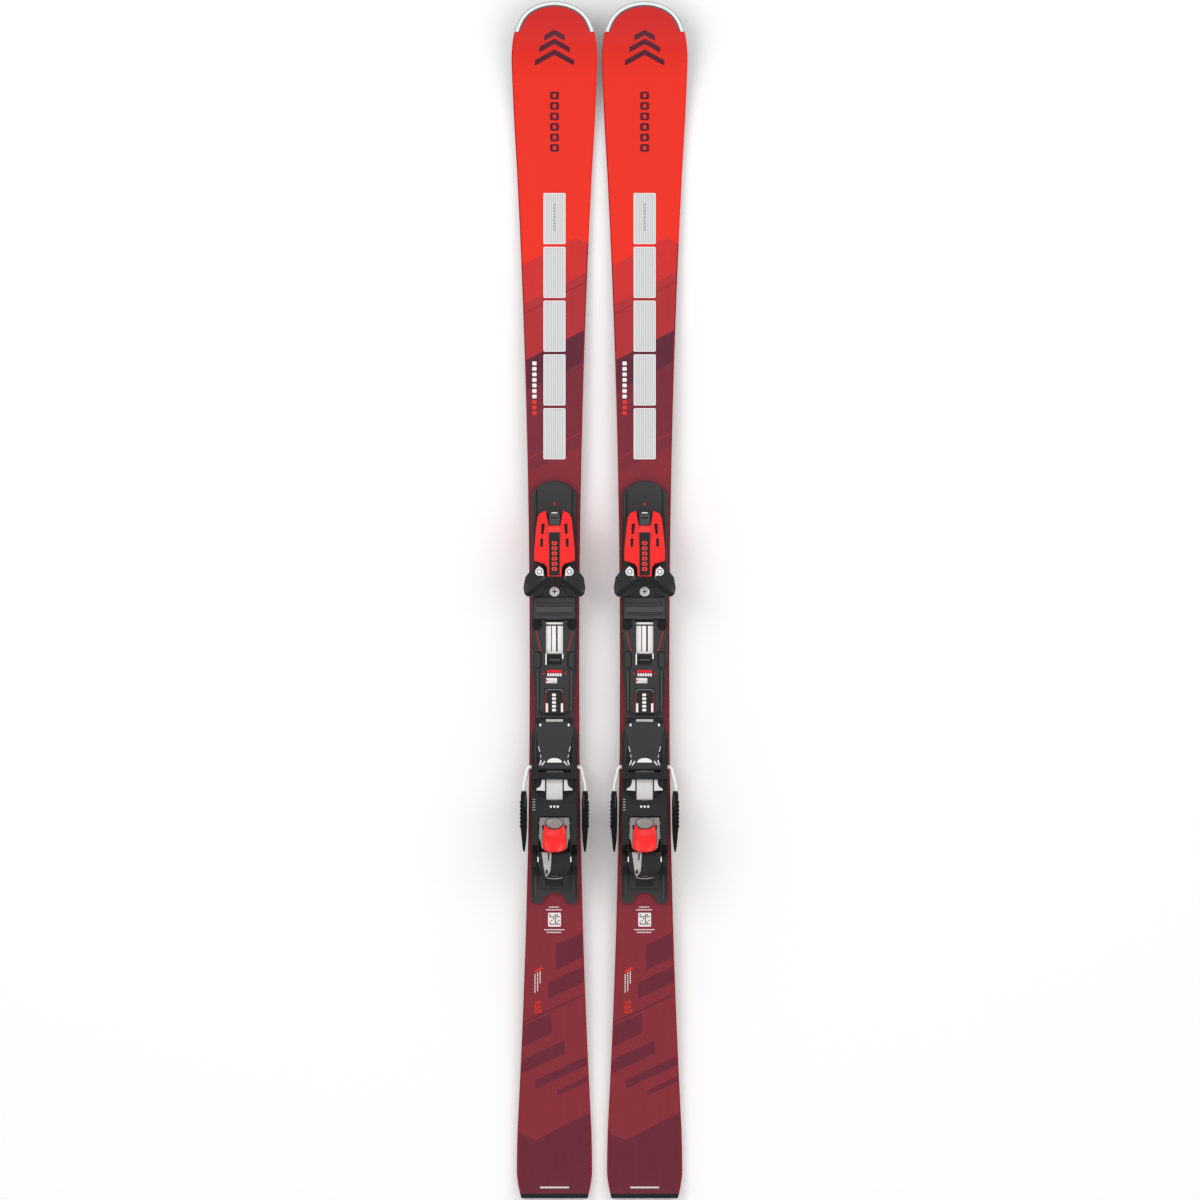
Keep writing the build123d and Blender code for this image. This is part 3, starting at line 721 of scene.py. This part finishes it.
def tip_mark(print_):
    """A plain mark of nested chevrons in place of the maker's, and short bars in place of its name."""
    arm = 7.5
    for half, y in ((27, 742), (21, 760), (14, 776)):
        peak = y + half * 0.55
        for sign in (-1, 1):
            chevron = [(0, peak), (sign * half, y), (sign * half, y - arm), (0, peak - arm)]
            print_.add(chevron, "mark_dark", 3)
    print_.row(rectangle(-6.2, 6.2, 688.4, 699.0, 2.6), 0, -14.4, 6, "mark_dark", 3)
    print_.row(rectangle(-2.4, 2.4, 691.0, 696.4, 1.2), 0, -14.4, 6, "tip_red", 4)


def slanted(x0, x1, y, depth):
    """A bar across part of the ski, its right end higher; y is its top edge at the centre line."""
    slope = 0.46
    left, right = y + x0 * slope, y + x1 * slope
    return [(x0, left), (x1, right), (x1, right - depth), (x0, left - depth)]


def rear_shapes(print_):
    """Plain slanted bars behind the heel, in place of the maker's large characters."""
    edge = 60.0
    bars = [(2, edge, -475, 34), (-9, edge, -522, 22), (-edge, edge, -560, 2.6), (-edge, -4, -566, 28)]
    bars += [(-edge, 14, -612, 18), (-26, edge, -648, 12), (4, edge, -676, 7)]
    for x0, x1, y, depth in bars:
        print_.add(inside_print(slanted(x0, x1, y, depth)), "plum_mark", 3)


def length_numeral(print_):
    """The ski's length in centimetres, 165, reading from the tip to the tail."""
    tall, wide, bold = 8.0, 4.4, 1.9
    bowl = arc(wide / 2, wide / 2, wide / 2, 0, 360, 14)
    digits = [
        [[(0.6, tall - 1.8), (2.6, tall), (2.6, 0)]],
        [bowl, arc(wide / 2 + 2.2, wide / 2 + 0.6, wide, 178, 108, 6)],
        [[(wide, tall), (0.4, tall), (0.2, wide)] + arc(wide / 2 - 0.2, wide / 2, wide / 2, 120, -140, 12)],
    ]
    for i, strokes in enumerate(digits):
        for route in strokes:
            turned_down = [(-27.0 + v, -550.8 - i * 6.4 - u) for u, v in route]
            print_.stroke(turned_down, bold, "numeral", 5)


def rear_label(print_):
    """A made-up code and short bars where the label behind the heel was."""
    print_.add(rectangle(-8.8, 8.8, -449.0, -430.0, 1.6), "print_white", 4)
    for across in range(6):
        for down in range(6):
            if (down * 5 + across * 3 + down * across) % 4 < 2:
                x, y = -7.0 + across * 2.45, -432.0 - down * 2.55
                print_.add(rectangle(x, x + 1.8, y - 1.9, y), "mark_dark", 5)
    for half, y in ((7.5, -421.5), (11.5, -425.2), (14.0, -452.5), (10.5, -456.2)):
        print_.row(rectangle(-half, 1.4 - half, y - 1.5, y), 2, 0, int(half), "print_white", 4)


def small_print(print_):
    """Plain bars and blocks where the small print was."""
    length_numeral(print_)
    print_.add([(-27, -512.5), (-16.5, -507), (-16.5, -505), (-18, -505), (-27, -509.5)], "numeral", 4)
    for x, y, count in ((-26.8, -514.5, 9), (-23.2, -512.5, 9), (-19.8, -510.5, 6)):
        print_.row(rectangle(x - 0.7, x + 0.7, y - 1.9, y), 0, -2.9, count, "print_white", 4)
    rear_label(print_)
    print_.row(rectangle(-30.6, -24.6, 322.8, 328.0, 1.2), 0, -7.6, 7, "print_white", 4)
    print_.row(rectangle(-30.6, -24.6, 269.6, 274.8, 1.2), 0, -7.6, 3, "numeral", 4)
    print_.row(rectangle(-19.6, -18.1, -809.0, -806.6), 2.1, 0, 19, "print_white", 4)


def print_graphics(ski):
    print_ = Graphics()
    print_.add(tip_zone(), "tip_red")
    borders = [LINE_2, LINE_3, LINE_4, LINE_5, LINE_6, LINE_END]
    colours = ["red_2", "red_3", "plum_4", "wine_5", "wine_6"]
    for upper, lower, colour in zip(borders, borders[1:], colours):
        print_.add(zone(lower, upper), colour, 2)
    for outline in tail_zones():
        print_.add(inside_print(outline), "plum_mark", 3)
    print_.add(cross_stripe(lowered(LINE_3, 12.5), 1.6), "seam_dark", 3)
    print_.add(cross_stripe(lowered(LINE_6, -19.5), 1.6), "seam_light", 3)
    windows(print_)
    tip_mark(print_)
    rear_shapes(print_)
    small_print(print_)
    ski.mesh("topsheet_print", "ski", print_.points, print_.faces, print_.materials, print_.indices)


# ---- topsheet, edges and ends
def topsheet(ski):
    """The topsheet as a smooth skin in place of its faceted solid."""
    levels = [TAIL_STRIP_Y] + [STRIP_PITCH * i for i in range(-101, 97)]
    levels += [GUARD_END_Y - 0.01, GUARD_END_Y + 0.01] + [y for _, y in SHEET_TIP[-2:0:-1]]
    levels = sorted(levels) + [SHEET_TIP[0][1]]
    points = []
    for y in levels:
        half, top = max(sheet_half(y), 0.05), top_z(y)
        low = top - SHEET_THICKNESS
        points += [(-half, y, low), (half, y, low), (half, y, top), (-half, y, top)]
    faces = [(0, 1, 2, 3)]
    for i in range(0, len(points) - 4, 4):
        for k in range(4):
            j = (k + 1) % 4
            faces.append((i + k, i + 4 + k, i + 4 + j, i + j))
    last = len(points) - 4
    faces.append((last + 3, last + 2, last + 1, last))
    sheet = ski.mesh("topsheet_skin", "ski", points, faces, ["wine_6"], smooth=True)
    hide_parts(f"{ski.side}_topsheet")


def ribbon(ski, name, outer, inner, lift, material):
    """A strip laid on the ski between two lines of as many points."""
    points = []
    for pair in zip(outer, inner):
        points += [(x, y, top_z(y) + lift) for x, y in pair]
    faces = [(i, i + 1, i + 3, i + 2) for i in range(0, len(points) - 2, 2)]
    first = [points[i][:2] for i in faces[0]]
    if polygon_area(first) < 0:
        faces = [face[::-1] for face in faces]
    ski.mesh(name, "ski", points, faces, [material], smooth=True)


def tip_line(ski, name, outer_inset, inner_inset, lift, material):
    """A strip that follows the tip between two insets."""
    lines = []
    for inset in (outer_inset, inner_inset):
        half = evened(tip_curve(inset), 40)
        lines.append([(-x, y) for x, y in half[:0:-1]] + half)
    ribbon(ski, name, *lines, lift, material)


def evened(points, count):
    """A route cut again into count equal runs."""
    reach = [0.0]
    for (ax, ay), (bx, by) in zip(points, points[1:]):
        reach.append(reach[-1] + math.hypot(bx - ax, by - ay))
    xs = list(zip(reach, [x for x, _ in points]))
    ys = list(zip(reach, [y for _, y in points]))
    runs = [reach[-1] * i / count for i in range(count + 1)]
    return [(interpolate(xs, run), interpolate(ys, run)) for run in runs]


def edge_lines(ski):
    """The sidewalls' top edges in front of the first colour change, brighter red there; the right one is
    painted lit and the left one in painted shade.
    """
    ends = (("left", -1, 461.0, "wall_shade"), ("right", 1, 490.5, "wall_bright"))
    for word, sign, end, material in ends:
        levels = [end + (GUARD_END_Y - 1.0 - end) * i / 48 for i in range(49)]
        outer = [(sign * (half_width(y) - 0.03), y) for y in levels]
        inner = [(sign * (half_width(y) - SHEET_INSET), y) for y in levels]
        ribbon(ski, f"edge_line_{word}", outer, inner, 0.24, material)


def ski_body(ski):
    topsheet(ski)
    print_graphics(ski)
    edge_lines(ski)
    tip_line(ski, "guard_line", 5.2, 7.2, 0.3, "guard_line")
    tip_line(ski, "guard_rim", 0.05, 1.3, 0.2, "guard_rim")


# ---- plate, band and covers
PLATE_TOP, FLANGE_TOP, COVER_TOP, LATCH_TOP, BAND_TOP = 31.0, 26.0, 36.5, 37.3, 30.9


def plate(ski):
    ridge = rectangle(23.6, 25.4, 60, 152, 0.8)
    ski.lay("ski", PLATE_TOP, [("plate_ridge", ridge, 0.2, 0.5, "plate_dark")], pairs=True)
    ski.lay("ski", FLANGE_TOP, [
        ("flange_ridge", rectangle(24.6, 26.4, -409, -171, 0.8), 0.2, 1.6, "plate_ridge", 0.3),
        ("flange_groove", rectangle(29.3, 30.4, -408, -190, 0.4), 0.2, 0.4, "plate_dark"),
    ], pairs=True)
    ski.lay("ski", PLATE_TOP, [
        ("rail_inlay", rectangle(-12.5, 12.5, -394, -305, 1.5), 0.1, 0.06, "black"),
        ("plate_dot", disc(0, 132, 1.7), 0.2, 0.25, "accent_red"),
    ])


def band_details(ski):
    """The dark gaps that part the pale band into bars and strips, and its rails on the cover."""
    gaps = {
        "front": rectangle(-12.2, 12.2, -30.6, -26.2),
        "bar": rectangle(-11.7, 11.7, -35.5, -33.6),
        "left": rectangle(-4.7, -3.6, -71.0, -35.4, 0.5),
        "right": rectangle(2.1, 4.4, -71.0, -35.4, 0.9),
        "rear_a": rectangle(-12.4, 12.4, -163.7, -161.6),
        "rear_b": rectangle(-12.4, 12.4, -170.0, -167.2),
    }
    ski.lay("ski", BAND_TOP, [
        (f"band_gap_{word}", outline, 0.3, 0.12, "black_deep") for word, outline in gaps.items()
    ])
    ski.lay("ski", COVER_TOP, [
        ("band_rail_left", rectangle(-12.4, -10.8, -89, -73.7, 0.5), 0.1, 0.4, "band"),
        ("band_rail_right", rectangle(10.6, 12.2, -81, -73.7, 0.5), 0.1, 0.4, "band"),
        ("band_block", rectangle(-9.5, 9.5, -88.5, -76, 1.5), 0.1, 0.9, "black_deep", 0.5),
        ("band_block_rib", rectangle(-7.4, 7.4, -83.4, -81.2, 0.8), -0.8, 1.2, "plate_ridge"),
    ])


def cover(ski):
    corner = [(18.2, -27.6), (30.2, -27.6), (30.2, -37.5), (26.5, -42.0), (20.5, -40.0), (16.8, -35.0)]
    outer = [(25.6, -95.4), (25.2, -148.0), (23.6, -155.5), (20.0, -159.2), (0.0, -159.6)]
    ski.lay("ski", COVER_TOP, [
        ("cover_line", line([(25.4, -42.2), (19.8, -65.7)], 0.65), 0.2, 0.12, "accent_red"),
        ("cover_dot", disc(19.0, -68.4, 1.2), 0.2, 0.15, "accent_red"),
        ("cover_mark", disc(14.8, -101.2, 1.2), 0.2, 0.15, "accent_red"),
        ("corner_pad", corner, 0.1, 1.4, "rubber", 0.7),
        ("ear_shadow", rectangle(17.6, 27.5, -95.0, -69.6, 4.6), 2.2, 0.12, "black_deep"),
        ("cover_ear", rectangle(19.2, 27.3, -93.4, -71.2, 3.6), 2.2, 1.1, "black_mid", 1.0, 3),
        ("inner_contour", rectangle(20.2, 21.5, -156.0, -95.0, 0.4), 0.1, 0.1, "black_deep"),
        ("outer_contour", line(outer, 1.0), 0.1, 0.1, "black_deep"),
        ("cover_rail", rectangle(22.0, 24.2, -152.0, -98.0, 1.0), 0.1, 0.6, "plate_ridge", 0.4),
        ("cover_pocket", capsule((18.4, -154.4), (16.4, -156.2), 3.4), 0.1, 0.1, "black_deep"),
    ], pairs=True)
    cover_label(ski)


def cover_label(ski):
    """Plain blocks in place of the cover's name, and the sunk window of its length scale."""
    rows = [
        ("label_bar", rectangle(-10, 10, -100.0, -96.2, 0.5), 0.1, 0.1, "accent_red"),
        ("scale_window", rectangle(-11.8, 3.6, -114.3, -107.3, 0.6), 0.7, -0.35, "print_white"),
        ("scale_arrow", [(-11.4, -108.2), (-8.4, -110.8), (-11.4, -113.4)], 0.4, -0.25, "accent_red"),
    ]
    for i, block in enumerate(row(rectangle(-9.8, -7.2, -104.7, -100.9), 3.4, 0, 6)):
        rows.append((f"label_block_{i}", block, 0.1, 0.12, "print_white"))
    for i in range(6):
        x = -6.8 + i * 1.9
        length = 4.6 if i % 3 == 0 else 2.6
        tick = rectangle(x, x + 0.45, -113.5, -113.5 + length)
        rows.append((f"scale_tick_{i}", tick, 0.4, -0.3, "black_deep"))
    ski.lay("ski", COVER_TOP, rows)


def latch(ski):
    ski.lay("latch", LATCH_TOP, [
        ("latch_line", rectangle(12.2, 12.8, -154.0, -129.0), 0.1, 0.1, "accent_red"),
        ("latch_bar", rectangle(8.8, 11.8, -154.2, -142.0, 0.5), 0.1, 0.1, "print_white"),
    ], pairs=True)
    rim = arc(-7.6, -127.4, 4.4, 180, 90, 5) + arc(7.6, -127.4, 4.4, 90, 0, 5)
    rows = [("latch_rim", line(rim, 0.7), 0.1, 0.1, "print_grey")]
    for i, mark in enumerate(row(rectangle(-3.3, 2.1, -132.2, -128.6, 0.9), 0, -5.2, 5)):
        rows.append((f"latch_mark_{i}", mark, 0.1, 0.1, "print_white"))
    ski.lay("latch", LATCH_TOP, rows)


# ---- toe piece
PIVOT_X, PIVOT_Y = 20.7, 39.0
WING_TOP, TOE_TOP, TOE_FLOOR, AFD_TOP = 66.0, 70.0, 36.0, 41.0
SPINE_TOP = TOE_TOP - 0.6
TOE_ROOF = [(76, TOE_TOP), (92, 66.0), (104, 61.0), (119, 54.0), (125, 48.0)]  # (y, height)
SCREW_Y = 11.5


def on_roof(lift):
    """The height just above the toe housing's roof, as a function of y."""
    return lambda y: interpolate(TOE_ROOF, max(y, TOE_ROOF[0][0])) + lift


def toe(ski):
    slots = {
        "upper_slot": (capsule((15.0, 103.4), (16.6, 92.2), 3.6), 56.5),
        "front_slot": (capsule((17.4, 83.0), (17.8, 75.2), 3.8), 60.0),
    }
    for name, (outline, low) in slots.items():
        ski.pair(name, "ski", outline, low, on_roof(0.45), "black_deep")
    bar = rectangle(-8.2, 8.2, 92.6, 100.4, 1.0)
    ski.prism("roof_bar", "ski", bar, 58.5, on_roof(0.35), "shell_light", 0.4)
    ski.prism("lens", "ski", rectangle(-6.2, 6.2, 103.0, 118.0, 1.5), 57.5, 58.5, "plate_ridge", 0.4)
    ski.prism("lens_bar", "ski", rectangle(-5.2, 5.2, 112.0, 113.8, 0.5), 58.4, 58.6, "black_deep")
    toe_spine(ski)
    toe_washers(ski)
    floor_screw(ski)


def toe_spine(ski):
    """The black strip down the housing's spine, with ringed bars in place of a name."""
    rows = [
        ("spine_strip", rectangle(-7.4, 7.4, 33.6, 92.4, 0.4), 0.2, 0.75, "black", 0.2),
        ("spine_end", rectangle(-8.2, 8.2, 32.7, 33.6), 1.0, 0.5, "accent_red"),
    ]
    for i, bar in enumerate(row(rectangle(-3.5, 3.5, 75.7, 80.6, 1.6), 0, -7.1, 6)):
        rows.append((f"spine_bar_{i}", bar, 0, 0.9, "shell_light"))
    for i, core in enumerate(row(rectangle(-1.3, 1.3, 77.0, 79.3, 0.5), 0, -7.1, 6)):
        rows.append((f"spine_bar_core_{i}", core, 0, 0.95, "black_deep"))
    ski.lay("ski", SPINE_TOP, rows)


def toe_washers(ski):
    """Bright teardrop washers under the wings' rivets."""
    drop = arc(PIVOT_X, PIVOT_Y + 0.4, 5.4, -100, 70, 10) + [(21.2, 46.6)]
    drop += arc(PIVOT_X, PIVOT_Y + 0.4, 5.4, 110, 190, 6) + [(14.8, 33.0)]
    ski.pair("washer", "ski", drop, WING_TOP + 1.4, WING_TOP + 1.9, "chrome", 0.2)
    for word, sign in MIRRORED:
        centre = (sign * PIVOT_X, PIVOT_Y)
        top = WING_TOP + 2.6
        ski.turned(f"washer_ring_{word}", "ski", centre, [(3.6, top), (3.6, top - 0.8)], "plate_ridge")
        ski.turned(f"rivet_head_{word}", "ski", centre,
                   [(1.2, top + 0.9), (2.2, top + 0.7), (2.7, top + 0.2), (2.7, top - 0.3)], "chrome")


def floor_screw(ski):
    """The big screw in the toe's floor, with its dark ring and cross recess."""
    centre = (0, SCREW_Y)
    floor = TOE_FLOOR
    ski.turned("screw_ring", "ski", centre, [(8.4, floor + 0.15), (8.4, floor - 0.6)], "black_deep")
    ski.turned("screw_face", "ski", centre,
               [(5.6, floor + 1.3), (6.7, floor + 1.0), (7.1, floor + 0.4), (7.1, floor - 0.4)], "chrome")
    for word, dx, dy in (("a", 3.0, 0.0), ("b", 0.0, 3.0)):
        slot = capsule((-dx, SCREW_Y - dy), (dx, SCREW_Y + dy), 1.3)
        ski.prism(f"screw_cross_{word}", "ski", slot, floor + 1.0, floor + 1.36, "black_mid")
    waist = [(9.0, 20.0), (13.8, 15.8), (14.7, 9.0), (18.6, 6.2), (27.5, 3.6)]
    ski.pair("floor_waist", "ski", line(waist, 1.0), floor - 0.1, floor + 0.12, "black_deep")


def wing_cap(ski, word, sign, body):
    """The wing's faceted top: two slopes that meet in a crease."""
    crease = [(12.8, 29.3), (39.0, 9.0)]
    front = [(13.4, 31.8), (14.6, 37.0), (16.0, 42.6), (19.0, 45.6), (23.4, 45.6), (28.2, 42.7),
             (32.5, 39.6), (39.6, 30.6), (41.8, 17.1), (40.5, 9.0)]
    rear = [(3.0, 29.6), (3.0, 28.4), (8.7, 24.2), (15.4, 17.8), (34.6, 5.4), (37.2, 5.6)]
    for part, chain, material in (("front", front, "black_gloss"), ("rear", rear, "black_deep")):
        points, faces = [], []
        for i, (x, y) in enumerate(chain):
            share = i / (len(chain) - 1)
            ridge_x, ridge_y = [a + (b - a) * share for a, b in zip(*crease)]
            points += [(sign * x, y, WING_TOP + 0.1), (sign * ridge_x, ridge_y, WING_TOP + 1.3)]
        for i in range(0, len(points) - 2, 2):
            face = (i, i + 2, i + 3, i + 1)
            flat = [points[k][:2] for k in face]
            faces.append(face if polygon_area(flat) > 0 else face[::-1])
        ski.mesh(f"wing_{part}_{word}", body, points, faces, [material])


def wings(ski):
    for word, sign, body in (("left", -1, "wing_l"), ("right", 1, "wing_r")):
        wing_cap(ski, word, sign, body)


def friction_pad(ski):
    """The pad's cap, with its paler middle and its curved grooves."""
    cap = both_sides([(27.6, 3.0), (27.6, -17.0), (24.0, -25.4)])
    rows = [
        ("afd_cap", cap, 0.9, 0.1, "pad", 0.5),
        ("afd_middle", rectangle(-25, 25, -16.4, -9.4, 0.8), 0, 0.25, "pad_light", 0.1),
    ]
    for i, y in enumerate((-4.2, -8.0, -17.6, -20.4)):
        groove = line([(-25, y + 0.5), (-12, y - 0.1), (0, y - 0.4), (12, y - 0.1), (25, y + 0.5)], 0.9)
        rows.append((f"afd_groove_{i}", groove, 0, 0.16, "black_deep"))
    ski.lay("afd", AFD_TOP, rows)


# ---- brake
PEDAL_TOP, BRIDGE_TOP, BRAKE_PAD_TOP = 44.0, 43.0, 42.0


def brake(ski):
    ski.lay("brake", PEDAL_TOP, [
        ("pedal_stud", capsule((19.5, -171.0), (19.5, -172.4), 2.6), 0.2, 0.2, "chrome"),
        ("pedal_stroke", line([(21.9, -201.2), (20.1, -208.6)], 0.9), 0.2, 0.12, "print_white"),
        ("pedal_stroke_short", line([(19.6, -212.4), (18.4, -216.6)], 0.8), 0.2, 0.12, "print_white"),
    ], pairs=True)
    lens = [(x, y * 0.62 - 223.6) for x, y in arc(0, 0, 10.4, 2, 178, 12)]
    ski.prism("pedal_lens", "brake", lens, 41.8, PEDAL_TOP + 0.1, "chrome", 0.3)
    ends = {
        "outer": [(18.8, -219.6, 42.6), (18.0, -222.4, 42.6), (20.8, -226.0, 41.6), (20.6, -229.4, 39.4)],
        "inner": [(13.4, -220.6, 42.8), (14.0, -223.6, 42.9), (17.4, -226.4, 42.0), (17.4, -229.6, 40.0)],
    }
    for word, route in ends.items():
        ski.tube_pair(f"pedal_wire_{word}", "brake", route, 1.05, "wire")
    # a painted highlight: a grey strip on each brake pad's top, where the wire glints through the pad's
    # slot
    streak = rectangle(39.6, 40.8, -285, -268, 0.4)
    ski.lay("brake", BRAKE_PAD_TOP, [("pad_streak", streak, 0.2, 0.06, "plate_ridge")], pairs=True)


# ---- heel piece
HEEL_FLOOR, LEVER_TOP, JAW_TOP = 34.0, 93.5, 91.0
JAW_ROOF = [(-300, 93.0), (-280, JAW_TOP), (-262, 80.0)]  # (y, height)


def on_jaw(lift):
    """The height just above the jaw's roof, as a function of y."""
    return lambda y: interpolate(JAW_ROOF, max(y, JAW_ROOF[0][0])) + lift


def heel(ski):
    ski.pair("bridge_line", "heel", rectangle(16.7, 17.4, -245.4, -237.2), BRIDGE_TOP - 0.2,
             BRIDGE_TOP + 0.08, "black_deep")
    treadle = rectangle(-11, 11, -274.5, -246.5, 1.0)
    ski.prism("treadle", "heel", treadle, 31.2, HEEL_FLOOR + 0.9, "band", 0.4)
    flare = [(13.0, -246.8), (17.5, -246.8), (17.9, -252.0), (19.6, -256.4), (24.8, -259.8), (24.8, -261.6),
             (13.0, -262.6)]
    ski.pair("angle_plate", "heel", flare, HEEL_FLOOR - 0.1, HEEL_FLOOR + 4.4, "chrome", 0.3)
    for i, dot in enumerate(row(disc(-4.8, -283.6, 1.6), 4.8, 0, 3)):
        ski.prism(f"jaw_dot_{i}", "jaw", dot, 88.0, on_jaw(0.15), "print_white")
    for i, tick in enumerate(row(rectangle(-30.0, -26.4, -274.5, -273.0), 0, -3.6, 5)):
        ski.prism(f"jaw_tick_{i}", "jaw", tick, 82.0, on_jaw(0.15), "print_grey")
    ski.pair("axle_cap", "jaw", capsule((22.5, -353.2), (22.5, -359.2), 1.5), 82.0, 85.6, "chrome", 0.2)
    ski.tube("rear_stripe", "jaw", [(-11.3, -381.0, 63.0), (0, -384.4, 63.0), (11.3, -381.0, 63.0)], 0.8,
             "lever_light")


PAD_FRONT, PAD_REAR, PAD_HORN = -315.2, -345.4, 6.4
PAD_HALF, PAD_FLARE, PAD_LOW, PAD_CROWN = 14.0, 2.3, 86.6, 97.6
SCOOP_Y, SCOOP_Z, SCOOP_RADIUS = -333.0, 139.6, 46.0


def lever_pad(ski):
    """The red pad: concave in front, scooped on top, its sides falling to the lever's floor."""
    across, along = 16, 14
    points = []
    for k in range(along + 1):
        share = k / along
        half = PAD_HALF + PAD_FLARE * math.sin(share * math.pi / 2)
        for i in range(across + 1):
            u = 2 * i / across - 1
            front = PAD_FRONT + PAD_HORN * abs(u) ** 2.4
            rear = PAD_REAR + 5.4 * abs(u) ** 3
            x, y = u * half, front + (rear - front) * share
            scoop = SCOOP_Z - math.sqrt(SCOOP_RADIUS ** 2 - x * x - (y - SCOOP_Y) ** 2)
            crown = PAD_CROWN - 1.6 * abs(u) ** 4 - 1.4 * share ** 4
            points.append((x, y, min(scoop, crown)))
    row = across + 1
    faces = []
    for k in range(along):
        for i in range(across):
            a = k * row + i
            faces.append((a, a + row, a + row + 1, a + 1))
    rim = list(range(row)) + [k * row + across for k in range(1, along + 1)]
    rim += [along * row + i for i in range(across - 1, -1, -1)]
    rim += [k * row for k in range(along - 1, 0, -1)]
    first = len(points)
    points += [(*points[i][:2], PAD_LOW) for i in rim]
    count = len(rim)
    for i in range(count):
        j = (i + 1) % count
        faces.append((rim[i], rim[j], first + j, first + i))
    faces.append(tuple(range(first, first + count))[::-1])
    pad = ski.mesh("lever_pad_skin", "lever", points, faces, ["lever_red"], smooth=True)
    round_edges(pad, 0.9, 3, 40)
    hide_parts(f"{ski.side}_heel_lever_pad")


def lever(ski):
    low = 84.0
    plan = [(20.3, -298.7), (20.8, -315.0), (21.5, -325.6), (21.5, -327.6), (19.6, -328.6), (17.4, -341.0)]
    plate = ski.prism("lever_frame", "lever", both_sides(plan), low, LEVER_TOP - 1.4, "lever_grey", 0.8, 3)
    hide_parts(f"{ski.side}_heel_lever")
    horn = [(12.5, -298.7), (20.2, -298.7), (20.7, -315.0), (21.3, -325.8), (19.4, -328.2), (17.2, -340.4),
            (16.4, -340.4), (16.4, -316.0), (13.0, -308.0)]
    ski.pair("lever_horn", "lever", horn, LEVER_TOP - 1.6, LEVER_TOP, "lever_grey", 0.5, 3)
    ski.tube("lever_pin", "lever", [(-24, -306, 88), (0, -306, 88), (24, -306, 88)], 2.5, "steel")
    ski.turned("lever_dome", "lever", (0, -306.6),
               [(4.2, 97.5), (6.4, 96.8), (7.7, 95.2), (8.2, 93.0), (8.2, 91.0)], "lever_grey", 1.58)
    ski.pair("lever_pocket", "lever", capsule((15.4, -310.6), (15.0, -313.4), 3.6), 91.0, LEVER_TOP + 0.1,
             "black_deep")
    lever_pad(ski)


# ---- the room
FLOOR_REACH, FLOOR_GAP = 40.0, 0.0005
CAMERA_LENS = 1000.0  # a very long lens: the view from above has no visible perspective
CAMERA_X = 0.0006  # how far the photograph's frame is off the pair's centre
FRAME_MARGIN = 1.0022  # the frame's height over the skis' length
WORLD_STRENGTH = 0.7
LAMPS = {  # name: (place, watts, width), in metres
    "key": ((-1.6, 1.2, 2.6), 29, 1.8),
    "fill": ((1.8, 0.6, 2.4), 16, 2.2),
    "back": ((0.2, -2.4, 2.2), 11, 2.0),
}


def floor(height):
    reach = FLOOR_REACH
    mesh = bpy.data.meshes.new("floor")
    corners = [(-reach, -reach, 0), (reach, -reach, 0), (reach, reach, 0), (-reach, reach, 0)]
    mesh.from_pydata(corners, [], [(0, 1, 2, 3)])
    mesh.materials.append(paint("floor_paint", (250, 250, 250), roughness=0.9, specular=0.1))
    obj = bpy.data.objects.new("floor", mesh)
    obj.location.z = height
    bpy.context.scene.collection.objects.link(obj)


def studio():
    low, high = cad_box
    middle = (low + high) / 2
    floor(low.z - FLOOR_GAP)
    world = bpy.data.worlds.new("studio")
    world.use_nodes = True
    background = world.node_tree.nodes["Background"]
    background.inputs["Color"].default_value = (1.0, 1.0, 1.0, 1.0)
    background.inputs["Strength"].default_value = WORLD_STRENGTH
    bpy.context.scene.world = world
    for name, (place, power, width) in LAMPS.items():
        light = bpy.data.lights.new(name, "AREA")
        light.energy = power
        light.size = width
        lamp = bpy.data.objects.new(name, light)
        lamp.location = place
        lamp.rotation_euler = (middle - Vector(place)).to_track_quat("-Z", "Y").to_euler()
        bpy.context.scene.collection.objects.link(lamp)
    camera_data = bpy.data.cameras.new("camera")
    camera_data.lens = CAMERA_LENS
    camera_data.clip_end = 80.0
    camera = bpy.data.objects.new("camera", camera_data)
    distance = (high.y - low.y) * FRAME_MARGIN * CAMERA_LENS / camera_data.sensor_width
    camera.location = (middle.x + CAMERA_X, middle.y, middle.z + distance)
    bpy.context.scene.collection.objects.link(camera)
    bpy.context.scene.camera = camera
    bpy.context.scene.view_settings.view_transform = "Standard"


DRESS = {  # CAD node: its material, bevel width, bevel segments, smooth shading
    "core": ("wood",),
    "base": ("base_black",),
    "steel_edges": ("edge_steel",),
    "sidewalls": ("wall_red",),
    "tip_guard": ("guard",),
    "tail_protector": ("tail_black", 0.8),
    "mounting_plate": ("plate", 0.9),
    "steel_band": ("band",),
    "binding_screws": ("chrome", 0.5),
    "centre_cover": ("black_mid", 0.7),
    "centre_latch": ("black", 0.6),
    "toe_base": ("pad", 0.5),
    "toe_housing": ("shell_red", 1.3, 4),
    "toe_rivets": ("chrome", 0.5, 3),
    "toe_din_screw": ("chrome", 0.4),
    "toe_wing_left": ("black_gloss", 1.4, 3),
    "toe_wing_right": ("black_gloss", 1.4, 3),
    "afd_pad": ("pad", 0.5),
    "brake_arms": ("wire", 0.0, 2, True),
    "brake_pads": ("rubber", 1.2, 3),
    "brake_pedal": ("black_mid", 1.4, 4),
    "heel_base": ("black", 0.8),
    "heel_axles": ("chrome", 0.5),
    "heel_housing": ("black", 1.8, 3),
    "heel_spring": ("spring",),
    "heel_din_screw": ("steel", 0.5),
    "heel_tongue": ("lever_light", 0.4),
}
BUILDERS = (ski_body, plate, band_details, cover, latch, toe, wings, friction_pad, brake, heel, lever)
for side_name in SIDES:
    one = Ski(side_name)
    for node, look in DRESS.items():
        one.dress(node, *look)
    for build in BUILDERS:
        build(one)
studio()
